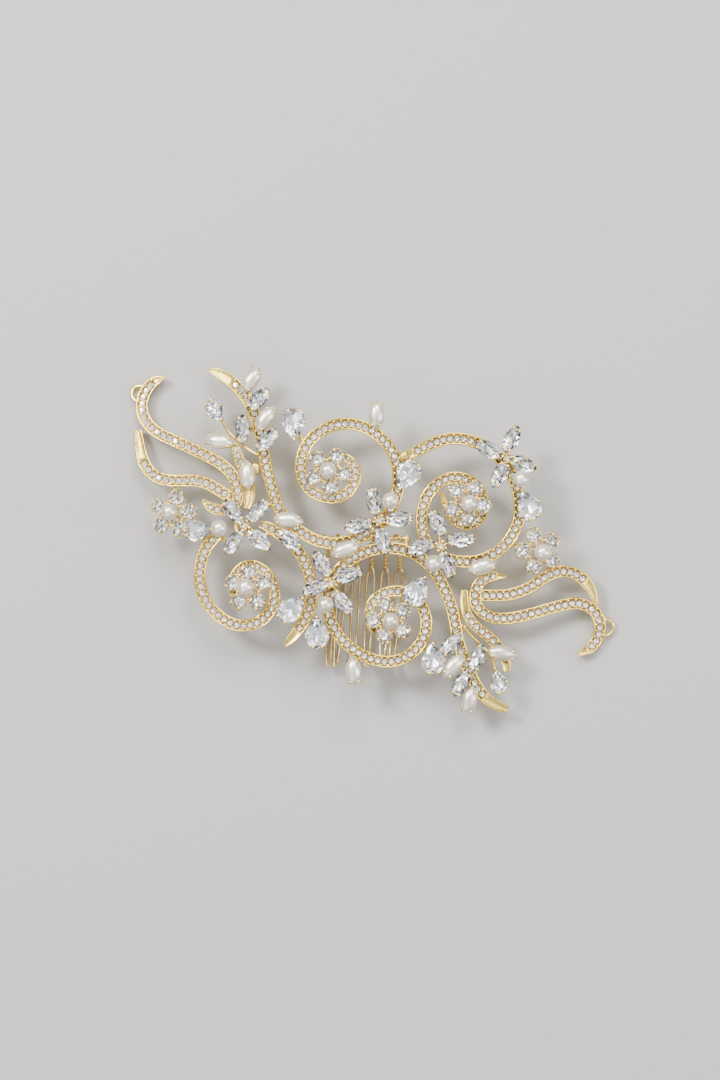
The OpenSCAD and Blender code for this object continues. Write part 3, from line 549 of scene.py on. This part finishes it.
def span(nt, source, a, b):
    r = nt.nodes.new("ShaderNodeMapRange")
    r.inputs["From Min"].default_value = 0.3
    r.inputs["From Max"].default_value = 0.7
    r.inputs["To Min"].default_value = a
    r.inputs["To Max"].default_value = b
    nt.links.new(source.outputs[0], r.inputs["Value"])
    return r


def emboss(nt, bsdf, source, strength):
    bump = nt.nodes.new("ShaderNodeBump")
    bump.inputs["Strength"].default_value = strength
    bump.inputs["Distance"].default_value = 0.0001
    nt.links.new(source.outputs[0], bump.inputs["Height"])
    nt.links.new(bump.outputs[0], bsdf.inputs["Normal"])


def gold(name, light, dark, rough, grain, depth):
    """Plated metal: slow changes of colour, patches of wear in the gloss, and a fine cast grain."""
    m, nt, bsdf = nodes_of(name)
    tc = nt.nodes.new("ShaderNodeTexCoord")
    slow = noise(nt, 260, 3, tc)
    fine = noise(nt, grain, 4, tc, 0.6)
    col = ramp(nt, slow, 0.3, 0.72, dark, light)
    nt.links.new(col.outputs[0], bsdf.inputs["Base Color"])
    rg = span(nt, fine, rough * 0.75, rough * 1.35)
    nt.links.new(rg.outputs[0], bsdf.inputs["Roughness"])
    emboss(nt, bsdf, fine, depth)
    bsdf.inputs["Metallic"].default_value = 1.0
    return m


def crystal(name, ior):
    m, nt, bsdf = nodes_of(name)
    tc = nt.nodes.new("ShaderNodeTexCoord")
    n = noise(nt, 420, 2, tc)
    col = ramp(nt, n, 0.35, 0.7, (0.96, 0.975, 1.0), (1.0, 0.995, 0.985))
    nt.links.new(col.outputs[0], bsdf.inputs["Base Color"])
    rg = span(nt, noise(nt, 2600, 2, tc), 0.0, 0.035)
    nt.links.new(rg.outputs[0], bsdf.inputs["Roughness"])
    bsdf.inputs["Transmission Weight"].default_value = 1.0
    bsdf.inputs["IOR"].default_value = ior
    return m


def foil(name, a, b):
    m, nt, bsdf = nodes_of(name)
    tc = nt.nodes.new("ShaderNodeTexCoord")
    n = noise(nt, 900, 2, tc)
    col = ramp(nt, n, 0.35, 0.65, a, b)
    nt.links.new(col.outputs[0], bsdf.inputs["Base Color"])
    rg = span(nt, n, 0.06, 0.16)
    nt.links.new(rg.outputs[0], bsdf.inputs["Roughness"])
    bsdf.inputs["Metallic"].default_value = 1.0
    return m


def pearl_look(name):
    m, nt, bsdf = nodes_of(name)
    tc = nt.nodes.new("ShaderNodeTexCoord")
    slow = noise(nt, 240, 3, tc)
    col = ramp(nt, slow, 0.3, 0.7, (0.62, 0.575, 0.44), (0.85, 0.82, 0.72))
    nt.links.new(col.outputs[0], bsdf.inputs["Base Color"])
    fine = noise(nt, 1500, 3, tc)
    rg = span(nt, fine, 0.28, 0.4)
    nt.links.new(rg.outputs[0], bsdf.inputs["Roughness"])
    emboss(nt, bsdf, fine, 0.08)
    lustre = {
        "Metallic": 0.72,
        "Subsurface Weight": 0.08,
        "Subsurface Radius": (0.001, 0.0008, 0.0006),
        "Coat Weight": 0.6,
        "Coat Roughness": 0.28,
        "Sheen Weight": 0.25,
        "Sheen Roughness": 0.35,
        "Sheen Tint": (1.0, 0.9, 0.82, 1),
        "Thin Film Thickness": 340,
        "Thin Film IOR": 1.4,
    }
    for socket, value in lustre.items():
        bsdf.inputs[socket].default_value = value
    return m


GOLD = gold("pale_gold", (0.95, 0.76, 0.215), (0.82, 0.60, 0.115), 0.16, 5200, 0.14)
SATIN = gold("satin_gold", (0.80, 0.62, 0.175), (0.50, 0.36, 0.08), 0.28, 2600, 1.0)
CLAW = gold("claw_gold", (0.97, 0.76, 0.24), (0.84, 0.60, 0.14), 0.15, 6000, 0.08)
PLATE = gold("pave_plate", (0.60, 0.42, 0.12), (0.34, 0.22, 0.05), 0.3, 4200, 0.35)
WIRE = gold("comb_wire_gold", (0.88, 0.68, 0.28), (0.68, 0.48, 0.15), 0.2, 6000, 0.12)
CLEAR = crystal("clear_crystal", 1.77)
CLEAR_S = crystal("pave_clear", 1.9)
FOIL = foil("foil_back", (0.97, 0.97, 0.975), (1.0, 1.0, 0.995))
FOIL_S = foil("pave_foil", (0.93, 0.94, 0.96), (0.99, 0.99, 0.985))
PEARL = pearl_look("pearl_lustre")
# Material lists: claws are index 3 of a head, and a cut stone has its crown and then its foil.
HEAD_METALS = [GOLD, GOLD, GOLD, CLAW]
CUT = [CLEAR, FOIL]

# ---- channel bands ------------------------------------------------------------------------------

# How far the plain end of a strap rises to a ridge; other plain ends are slightly hollow.
RIDGED = {"strap_left": 1.0, "strap_right": 0.5}


def band_section(w, floor, ridge):
    """The channel's outline from its right foot, over both rims, to its left foot: (offset, height)."""
    h = w / 2
    t = min(RIM_W, w / 4)
    k = min(1.0, w / 1.6)
    half = [
        (-h + 0.16 * k, 0.0), (-h + 0.03, 0.14), (-h, 0.4), (-h, BAND_H - 0.42),
        (-h + 0.035 * k, BAND_H - 0.17), (-h + t * 0.3, BAND_H - 0.035), (-h + t * 0.55, BAND_H),
        (-h + t * 0.82, BAND_H - 0.05), (-h + t, BAND_H - 0.2),
        (-h + t + 0.03 * k, min(floor + 0.1, BAND_H - 0.21)), (-h + t + 0.16 * k, floor),
        (-(h - t) * 0.45, floor + ridge * 0.45),
    ]
    return half + [(0.0, floor + ridge)] + [(-u, z) for u, z in reversed(half)]


def lengths(path):
    """Distance along a path, in plan, of each of its points."""
    s = [0.0]
    for a, b in zip(path, path[1:]):
        s.append(s[-1] + math.hypot(b.x - a.x, b.y - a.y))
    return s


def interpolate(path, s, at):
    """The point at a distance along a path, and the path's direction there."""
    for i in range(len(s) - 1):
        if at <= s[i + 1]:
            f = (at - s[i]) / max(1e-9, s[i + 1] - s[i])
            return path[i].lerp(path[i + 1], f), path[i + 1] - path[i]
    return path[-1], path[-1] - path[-2]


def make_band(name):
    """A channel with its bead prongs, and the row of small stones in it."""
    path = smooth(LINES[name], 8)
    s = lengths(path)
    a, b = PLAIN[name]
    run = s[-1]
    verts = []
    n = len(path)
    for i, p in enumerate(path):
        d = path[min(n - 1, i + 1)] - path[max(0, i - 1)]
        d = Vector((d.x, d.y)).normalized()
        left = Vector((-d.y, d.x))
        edge = min(s[i] - (a - 1.0), (run - b + 1.0) - s[i])
        f = max(0.0, min(1.0, 0.5 - edge / 0.8))
        f = f * f * (3 - 2 * f)
        floor = FLOOR_H + (BAND_H - 0.28 - FLOOR_H) * f
        ridged = RIDGED.get(name, 0.0)
        ridge = 0.1 * f * ridged - 0.12 * f * (1 - ridged)
        section = band_section(max(p.z, 0.5), floor, ridge)
        for u, z in section:
            x, y = p.x + left.x * u, p.y + left.y * u
            verts.append((x, y, bed(x, y) + z))
    cols = len(section)
    mats = []
    floor_cols = (10, 11, 12, 13)
    for i in range(n - 1):
        mid_s = (s[i] + s[i + 1]) / 2
        plain = mid_s < a - 0.8 or mid_s > run - b + 0.8
        for j in range(cols):
            mats.append((1 if plain else 2) if j in floor_cols else 0)
    mats += [0, 0]
    shape = Shape()
    shape.add(verts, capped_grid(n, cols), None, mats)
    # Bead prongs, two between each pair of stones and at both ends of the row.
    count = math.floor((run - a - b) / PAVE_PITCH)
    step = (run - a - b) / count
    for k in range(-1, count + 1):
        at = a + (k + 0.5) * step
        if at < 0.6 or at > run - 0.6:
            continue
        p, d = interpolate(path, s, at)
        d = Vector((d.x, d.y)).normalized()
        left = Vector((-d.y, d.x))
        off = max(0.34, p.z / 2 - RIM_W - 0.22)
        for side in (-1, 1):
            x, y = p.x + left.x * off * side, p.y + left.y * off * side
            bead(shape, (x, y, bed(x, y) + BAND_H - 0.34), 0.36, None, 0.9, 3)
    shape.build(name + "_channel", [GOLD, SATIN, PLATE, CLAW], "gold", (name,))
    # The row of small stones.
    stones = Shape()
    for k in range(count + 1):
        p, d = interpolate(path, s, a + k * step)
        turn = math.degrees(math.atan2(d.y, d.x)) + random.uniform(-12, 12)
        m = seat(p.x, p.y, FLOOR_H + 0.02, turn, 1.4)
        m = m @ Matrix.Rotation(random.uniform(-PAVE_TILT, PAVE_TILT), 4, "X")
        m = m @ Matrix.Rotation(random.uniform(-PAVE_TILT, PAVE_TILT), 4, "Y")
        cut_stone(stones, round_outline(PAVE_D * PAVE_GROWTH), PAVE_H, m, 8, 0.55, 0.45, 0.55)
    stones.build("pave_" + name + "_stones", [CLEAR_S, FOIL_S], "pave_crystal", ("pave_" + name,))


for band in LINES:
    make_band(band)

# ---- rosettes ------------------------------------------------------------------------------------

for index, (x, y, first, out) in enumerate(ROSETTES, 1):
    metal, gems = Shape(), Shape()
    base = seat(x, y)
    stalk = [
        (0.9, SEAT_H), (1.2, SEAT_H + 0.15), (0.8, SEAT_H + 0.6), (0.75, SEAT_H + 1.5),
        (1.35, SEAT_H + 1.9), (1.5, SEAT_H + 2.1), (1.3, SEAT_H + 2.15), (0.6, SEAT_H + 1.95),
    ]
    revolve(metal, stalk, base, 24)
    for k in range(5):
        arm = base @ Matrix.Rotation(math.radians(first + 72 * k), 4, "Z")
        st = arm @ Matrix.Translation((RING_R * 0.98, 0, 0))
        spoke = [(0.6, 0, SEAT_H + 0.28), (2.0, 0, SEAT_H + 0.3), (RING_R - 1, 0, SEAT_H + 0.26)]
        tube(metal, spoke, 0.32, 8, arm)
        collet = [
            (1.0, SEAT_H), (1.25, SEAT_H + 0.1), (1.55, SEAT_H + 0.6), (2.2, SEAT_H + 1.14),
            (2.3, SEAT_H + 1.3), (2.26, SEAT_H + 1.4), (2.19, SEAT_H + 1.4), (2.15, SEAT_H + 1.22),
            (1.9, SEAT_H + 0.98), (1.4, SEAT_H + 0.6), (0.9, SEAT_H + 0.3),
        ]
        revolve(metal, collet, st, 32)
        place = st @ Matrix.Translation((0, 0, LIFT - 0.05))
        place = place @ Matrix.Rotation(random.uniform(0, 0.7), 4, "Z")
        cut_stone(gems, round_outline(ROUND_D), ROUND_H, place, 8, 0.56, 0.5, 0.58)
        for a in (45, 135, 225, 315):
            ca, sa = math.cos(math.radians(a)), math.sin(math.radians(a))
            r0 = ROUND_D / 2
            foot = (ca * (r0 - 0.45), sa * (r0 - 0.45), 0)
            girdle = (ca * (r0 + 0.13), sa * (r0 + 0.13), 0)
            claw(metal, st, foot, girdle, (-ca, -sa, 0), SEAT_H + 0.1, LIFT + 1.2, LIFT + 1.66, 0.27, 0.45)
        mid = base @ Matrix.Rotation(math.radians(first + 72 * k + 36), 4, "Z")
        bead(metal, (3.0, 0, SEAT_H + 1.7), 0.5, mid, 0.9, 3)
        tube(metal, [(1.0, 0, SEAT_H + 0.5), (2.4, 0, SEAT_H + 0.9), (3.0, 0, SEAT_H + 1.5)], 0.24, 6, mid)
    metal.build(f"rosette_{index}_collets", HEAD_METALS, "gold", (f"rosette_{index}_setting",))
    gems.build(f"rosette_{index}_brilliants", CUT, "crystal", (f"rosette_{index}_stones",))

# ---- heads for the fancy-cut stones -------------------------------------------------------------


def marquise_claws(metal, m, l, w, ztop, r, xs, reach):
    rr = (l * l + w * w) / (4 * w)
    for sx in (-1, 1):
        for sy in (-1, 1):
            x = xs * l * sx
            y = (math.sqrt(rr * rr - x * x) - rr + w / 2) * sy
            n = Vector((x / rr, (abs(y) + rr - w / 2) / rr * sy, 0)).normalized()
            g = Vector((x, y, 0)) + n * 0.16
            claw(metal, m, Vector((x, y, 0)) * 0.8, g, -n, SEAT_H + 0.15, LIFT + 1.1, ztop, r, reach)


def marquise_head(metal, m, l, w, ztop, reach=0.45, r=0.3, xs=0.38):
    o = marquise_outline(l, w)
    wall(metal, o, 0.72, 0.8, SEAT_H, SEAT_H + 0.5, m, 32)
    wall(metal, o, 0.84, 0.93, SEAT_H + 0.75, SEAT_H + 1.12, m, 32)
    marquise_claws(metal, m, l, w, ztop, r, xs, reach)


def set_marquise(metal, gems, m):
    l, w = MARQ_L, MARQ_W
    marquise_head(metal, m, l, w, LIFT + 1.72)
    place = m @ Matrix.Translation((0, 0, LIFT))
    cut_stone(gems, marquise_outline(l, w), FANCY_H, place, 10, 0.5, 0.42, 0.54, 0.12, 0.03)


for i, petals in enumerate(FLOWERS):
    metal, gems = Shape(), Shape()
    hx, hy = FLOWER_HEARTS[i]
    for px, py, turn in petals:
        m = seat(px, py, 0, turn)
        set_marquise(metal, gems, m)
        d = math.hypot(hx - px, hy - py)
        m2 = seat(px, py, 0, math.degrees(math.atan2(hy - py, hx - px)))
        tube(metal, [(0, 0, SEAT_H + 0.25), (d * 0.5, 0, SEAT_H + 0.3), (d, 0, SEAT_H + 0.3)], 0.42, 8, m2)
    heart = seat(hx, hy)
    cup = [
        (0.9, SEAT_H), (1.3, SEAT_H + 0.12), (1.35, SEAT_H + 0.7), (1.0, SEAT_H + 1.1),
        (0.8, SEAT_H + 1.45),
    ]
    revolve(metal, cup, heart, 20)
    cut_stone(gems, round_outline(2.0), 1.0, heart @ Matrix.Translation((0, 0, SEAT_H + 1.3)))
    for k in range(4):
        a = math.radians(90 * k + 20)
        bead(metal, (1.02 * math.cos(a), 1.02 * math.sin(a), SEAT_H + 1.95), 0.36, heart, 0.9, 3)
        bead(metal, (1.35 * math.cos(a + 0.8), 1.35 * math.sin(a + 0.8), SEAT_H + 1.3), 0.55, heart, 0.9, 3)
    qx, qy = FLOWER_PEARLS[i]
    m = seat(qx, qy)
    cup = [
        (0.8, SEAT_H), (1.05, SEAT_H + 0.1), (0.7, SEAT_H + 0.6), (0.7, SEAT_H + 1.3),
        (1.3, SEAT_H + 1.7), (1.6, SEAT_H + 2.05), (1.45, SEAT_H + 2.1), (0.6, SEAT_H + 1.75),
    ]
    revolve(metal, cup, m, 22)
    metal.build(f"flower_{i + 1}_heads", HEAD_METALS, "gold", (f"flower_{i + 1}_setting",))
    gems.build(f"flower_{i + 1}_marquises", CUT, "crystal", (f"flower_{i + 1}_petals",))

metal, gems = Shape(), Shape()
for x, y, turn in SPRIGS:
    set_marquise(metal, gems, seat(x, y, 0, turn))
metal.build("sprig_heads", HEAD_METALS, "gold", ("sprig_settings",))
gems.build("sprig_marquises", CUT, "crystal", ("sprig_stones",))

metal, gems = Shape(), Shape()
for x, y, turn, k in PEARS:
    l, w = PEAR_L * k, PEAR_W * k
    o = pear_outline(l, w)
    m = seat(x, y, 0, turn)
    wall(metal, o, 0.72, 0.79, SEAT_H, SEAT_H + 0.5, m, 40)
    wall(metal, o, 0.86, 0.93, SEAT_H + 0.75, SEAT_H + 1.12, m, 40)
    c = Vector((w / 2 - l / 2, 0, 0))
    for a in (75, 155, 205, 285):
        n = Vector((math.cos(math.radians(a)), math.sin(math.radians(a)), 0))
        g = c + n * (w / 2 + 0.15)
        r, reach = (0.33, 0.55) if 90 < a < 270 else (0.25, 0.4)
        claw(metal, m, c + n * (w / 2 * 0.8), g, -n, SEAT_H + 0.15, LIFT + 1.1, LIFT + 1.66, r, reach)
    foot, girdle = (l / 2 * 0.8, 0, 0), (l / 2 + 0.08, 0, 0)
    claw(metal, m, foot, girdle, (-1, 0, 0), SEAT_H + 0.15, LIFT + 1.1, LIFT + 1.6, 0.34, 0.55)
    cut_stone(gems, o, FANCY_H, m @ Matrix.Translation((0, 0, LIFT)), 10, 0.55, 0.5, 0.6, 0.1, 0.03)
metal.build("pear_heads", HEAD_METALS, "gold", ("pear_settings",))
gems.build("pear_cut_stones", CUT, "crystal", ("pear_stones",))

# ---- pearls ---------------------------------------------------------------------------------------

metal, pearls = Shape(), Shape()
for x, y, turn in NAVETTES:
    m = seat(x, y, 0, turn)
    marquise_head(metal, m, NAV_L, NAV_W, LIFT + 1.05, 0.5, 0.27, 0.345)
    n, k = 36, 17
    verts = []
    for i in range(n + 1):
        u = -math.cos(math.pi * i / n)
        wide = 0.03 + 0.97 * (1 - abs(u) ** 2.5)
        for j in range(k):
            a = math.pi * j / (k - 1)
            z = 2.1 * wide ** 0.8 * math.sin(a) ** 0.9
            verts.append((u * (NAV_L / 2 - 0.04), NAV_W / 2 * wide * math.cos(a), z))
    pearls.add(verts, capped_grid(n + 1, k), m @ Matrix.Translation((0, 0, LIFT)))
metal.build("navette_heads", HEAD_METALS, "gold", ("navette_settings",))
pearls.build("navette_pearl_drops", [PEARL], "pearl", ("navette_pearls",))

pearls = Shape()


def round_pearl(m):
    rows, n, r = 20, 32, PEARL_D / 2
    prof = [(r * math.sin(math.pi * i / rows), -r * math.cos(math.pi * i / rows)) for i in range(rows + 1)]
    wob = random.uniform(0, 6.28)
    verts = []
    for pr, z in prof:
        for j in range(n):
            a = 2 * math.pi * j / n
            k = 1 - 0.006 * (1 + math.sin(2 * a + wob) * math.cos(2 * z / r))
            verts.append((max(pr, 1e-4) * k * math.cos(a), max(pr, 1e-4) * k * math.sin(a), z))
    pearls.add(verts, capped_grid(rows + 1, n), m)


for x, y, first, out in ROSETTES:
    a = BOW + (math.pi if bow_run(x, y) < 0 else 0)
    round_pearl(seat(x + 0.06 * out * math.cos(a), y + 0.06 * out * math.sin(a), SEAT_H + 4))
for x, y in FLOWER_PEARLS:
    round_pearl(seat(x, y, SEAT_H + 1.6 + PEARL_D / 2))
pearls.build("round_pearl_beads", [PEARL], "pearl", ("round_pearls",))

# ---- wires, loops and the comb -------------------------------------------------------------------

wires = Shape()
for line in SPRIG_WIRES:
    path = smooth([(x, y, bed(x, y) + z) for x, y, z in line], 6)
    tube(wires, path, SPRIG_WIRE_R, 10)
    for p in (path[0], path[-1]):
        bead(wires, p, 0.62, None, 0.8)
wires.build("sprig_stems", [GOLD], "gold", ("sprig_wires",))

loops = Shape()
for x, y, turn in LOOPS:
    m = seat(x, y, 1.2, turn - 100, 1)
    angles = [math.radians(a) for a in range(0, 201, 8)]
    path = [(LOOP_R * math.cos(a), LOOP_R * math.sin(a), 0) for a in angles]
    tube(loops, path, LOOP_WIRE_R, 12, m)
    for p in (path[0], path[-1]):
        bead(loops, p, 0.6, m, 0.7)
loops.build("loop_rings", [GOLD], "gold", ("end_loops",))


def belly(y):
    return WIRE_R + (SPINE_Z - WIRE_R) * ((y - BELLY_Y) / (SPINE_Y - BELLY_Y)) ** 2


def tine_leg(x, tip, side):
    """One leg of a hairpin tine: 3.5 turns round its twin, then spread, then closing towards the tip."""
    pts = []
    for i in range(64):
        a = math.radians(20 * i)
        y = TWIST_FROM + (TWIST_TO - TWIST_FROM) * i / 63
        pts.append((x + side * STRAND_R * math.cos(a), y, belly(y) + side * STRAND_R * math.sin(a)))
    for f in (0.05, 0.075, 0.1, 0.16, 0.25, 0.33, 0.4, 0.48, 0.55, 0.63, 0.7, 0.78, 0.85, 0.93, 1):
        y = TWIST_TO + (TIP_Y + 0.4 - TWIST_TO) * f
        spread = 0.8 if f < 0.06 else (0.92 if f < 0.08 else 1.05 - 0.1 * f - 0.52 * f ** 4)
        pts.append((x + (tip - x) * f - side * spread, y, belly(y)))
    return pts


tines = Shape()
for i, tip in enumerate(TINE_TIPS):
    x = TINE_FIRST - i * TINE_PITCH
    a, b = tine_leg(x, tip, -1), tine_leg(x, tip, 1)
    bend_y = TIP_Y + 0.12
    end = [
        (tip + 0.27, bend_y, belly(bend_y)),
        (tip, TIP_Y, belly(TIP_Y)),
        (tip - 0.27, bend_y, belly(bend_y)),
    ]
    if a[-1][0] < b[-1][0]:
        end = end[::-1]
    tube(tines, a + end + b[::-1], WIRE_R * 0.96, 10)
tines.build("comb_hairpin_tines", [WIRE], "comb_wire", ("comb_tines",))

wrap = Shape()
turns = (SPINE_TO - SPINE_FROM - 1.2) / TINE_PITCH
path = []
for i in range(int(24 * turns) + 1):
    a = math.radians(15 * i - 20)
    x = SPINE_FROM + 0.6 + TINE_PITCH * i / 24
    path.append((x, SPINE_Y + (SPINE_R + WIRE_R) * math.cos(a), SPINE_Z + (SPINE_R + WIRE_R) * math.sin(a)))
tube(wrap, path, WIRE_R * 0.95, 10)
wrap.build("comb_lashing", [WIRE], "comb_wire", ("comb_wrap",))

posts = Shape()
for x in (SPINE_FROM - POST_R, SPINE_TO + POST_R):
    top = bed(x, SPINE_Y) - 0.1
    post = [
        (0.3, 8.02), (0.62, 8.1), (0.72, 8.5), (0.72, top - 0.5), (0.6, top - 0.2), (0.3, top),
    ]
    revolve(posts, post, Matrix.Translation((x, SPINE_Y, 0)), 20)
    coil = []
    for turn in range(0, 1081, 15):
        a = math.radians(turn)
        z = POST_FOOT + 0.3 + 1.7 * turn / 1080
        coil.append((x + 0.74 * math.cos(a), SPINE_Y + 0.74 * math.sin(a), z))
    tube(posts, coil, 0.2, 8)
posts.build("comb_end_posts", [WIRE], "comb_wire", ("comb_posts",))

plates = Shape()
for x0, y0, x1, y1 in TABS:
    m = seat((x0 + x1) / 2, (y0 + y1) / 2, -0.38, math.degrees(math.atan2(y1 - y0, x1 - x0)), 0)
    d = math.hypot(x1 - x0, y1 - y0) / 2
    n = max(6, int(d * 2))
    path = [(-d + 2 * d * i / n, 0, 0) for i in range(n + 1)]
    radii = [0.70 + 0.05 * abs(2 * i / n - 1) for i in range(n + 1)]
    tube(plates, path, radii, 14, m @ Matrix.Scale(0.47, 4, (0, 0, 1)))
for x, y in PEGS:
    m = seat(x, y, -0.35, 0, 0)
    peg = [
        (0.5, 0), (0.72, 0.3), (0.62, 0.5), (0.5, 0.9), (0.5, 1.9), (0.62, 2.3), (0.7, 2.42),
        (0.5, 2.5),
    ]
    revolve(plates, peg, m, 16)
for outline in SADDLES:
    pts = [Vector(q) for q in outline]
    for _ in range(2):
        pts = [a.lerp(b, f) for a, b in zip(pts, pts[1:] + pts[:1]) for f in (0.25, 0.75)]
    mid = sum(pts, Vector((0, 0))) / len(pts)
    m = seat(mid.x, mid.y, 0.3, 0, 0)
    n = len(pts)
    verts = []
    for k, z in ((0.9, 0), (1.0, 0.2), (1.0, 0.6), (0.9, 0.85), (0.65, 1.0), (0.3, 1.06)):
        verts += [((q.x - mid.x) * k, (q.y - mid.y) * k, z) for q in pts]
    plates.add(verts, capped_grid(6, n), m)
plates.build("solder_bridges", [SATIN], "gold", ("bridge_plates",))

# The spine rod keeps its CAD mesh, with its edges rounded.
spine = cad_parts["comb_spine"]
spine.data.materials.clear()
spine.data.materials.append(WIRE)
weld = spine.modifiers.new("weld", "WELD")
weld.merge_threshold = 0.00001
edge = spine.modifiers.new("edge", "BEVEL")
edge.width = 0.0003
edge.segments = 4
edge.limit_method = "ANGLE"
edge.angle_limit = math.radians(35)

# ---- studio -----------------------------------------------------------------------------------------


def plain(name, col, rough, grain):
    m, nt, bsdf = nodes_of(name)
    tc = nt.nodes.new("ShaderNodeTexCoord")
    n = noise(nt, grain, 4, tc)
    c = ramp(nt, n, 0.3, 0.7, [v * 0.975 for v in col], col)
    nt.links.new(c.outputs[0], bsdf.inputs["Base Color"])
    bsdf.inputs["Roughness"].default_value = rough
    return m


bpy.ops.mesh.primitive_plane_add(size=3.0, location=(0, 0, -0.0002))
floor = bpy.context.object
floor.name = "studio_floor"
floor.data.materials.append(plain("pale_paper", (0.375, 0.366, 0.352), 0.8, 900))


def area(name, loc, size, power, colour, size_y=None):
    """An area light that faces the origin."""
    data = bpy.data.lights.new(name, "AREA")
    data.energy = power
    data.color = colour
    data.size = size
    if size_y:
        data.shape = "RECTANGLE"
        data.size_y = size_y
    o = bpy.data.objects.new(name, data)
    bpy.context.scene.collection.objects.link(o)
    o.location = loc
    o.rotation_mode = "QUATERNION"
    o.rotation_quaternion = (-Vector(loc)).to_track_quat("-Z", "Y")


area("top", (0.14, 0.76, 0.95), 0.6, 18.0, (1.0, 0.99, 0.97))
area("key", (-0.55, 0.42, 0.75), 0.26, 16.5, (1.0, 0.97, 0.92))
area("side", (0.75, -0.10, 0.5), 0.2, 6.0, (1.0, 0.98, 0.95), 0.8)
area("fill", (-0.52, -0.62, 0.6), 0.5, 2.6, (0.97, 0.985, 1.0))

world = bpy.data.worlds.new("studio")
bpy.context.scene.world = world
world.use_nodes = True
wt = world.node_tree
bg = wt.nodes["Background"]
sky = wt.nodes.new("ShaderNodeTexCoord")
split = wt.nodes.new("ShaderNodeSeparateXYZ")
dome = wt.nodes.new("ShaderNodeValToRGB")
wt.links.new(sky.outputs["Generated"], split.inputs[0])
wt.links.new(split.outputs["Z"], dome.inputs[0])
wt.links.new(dome.outputs[0], bg.inputs["Color"])
# The dome is dark at the horizon, brightest partway up and a little dimmer overhead.
first, last = dome.color_ramp.elements[0], dome.color_ramp.elements[1]
first.position, first.color = 0.05, (0.10, 0.098, 0.095, 1)
last.position, last.color = 0.95, (0.82, 0.82, 0.83, 1)
for position, colour in ((0.45, (0.38, 0.382, 0.39, 1)), (0.72, (1.08, 1.08, 1.09, 1))):
    dome.color_ramp.elements.new(position).color = colour
bg.inputs["Strength"].default_value = 1.22

cam_data = bpy.data.cameras.new("camera")
cam = bpy.data.objects.new("camera", cam_data)
bpy.context.scene.collection.objects.link(cam)
CAM_H, PLANE_Z, VIEW_H = 0.9, 0.0095, 0.297
cam.location = (-0.00378, 0.0, PLANE_Z + CAM_H)
cam.rotation_euler = (0, 0, 0)
cam_data.sensor_fit = "VERTICAL"
cam_data.sensor_height = 24.0
cam_data.lens = cam_data.sensor_height * CAM_H / VIEW_H
cam_data.clip_start, cam_data.clip_end = 0.01, 10
bpy.context.scene.camera = cam
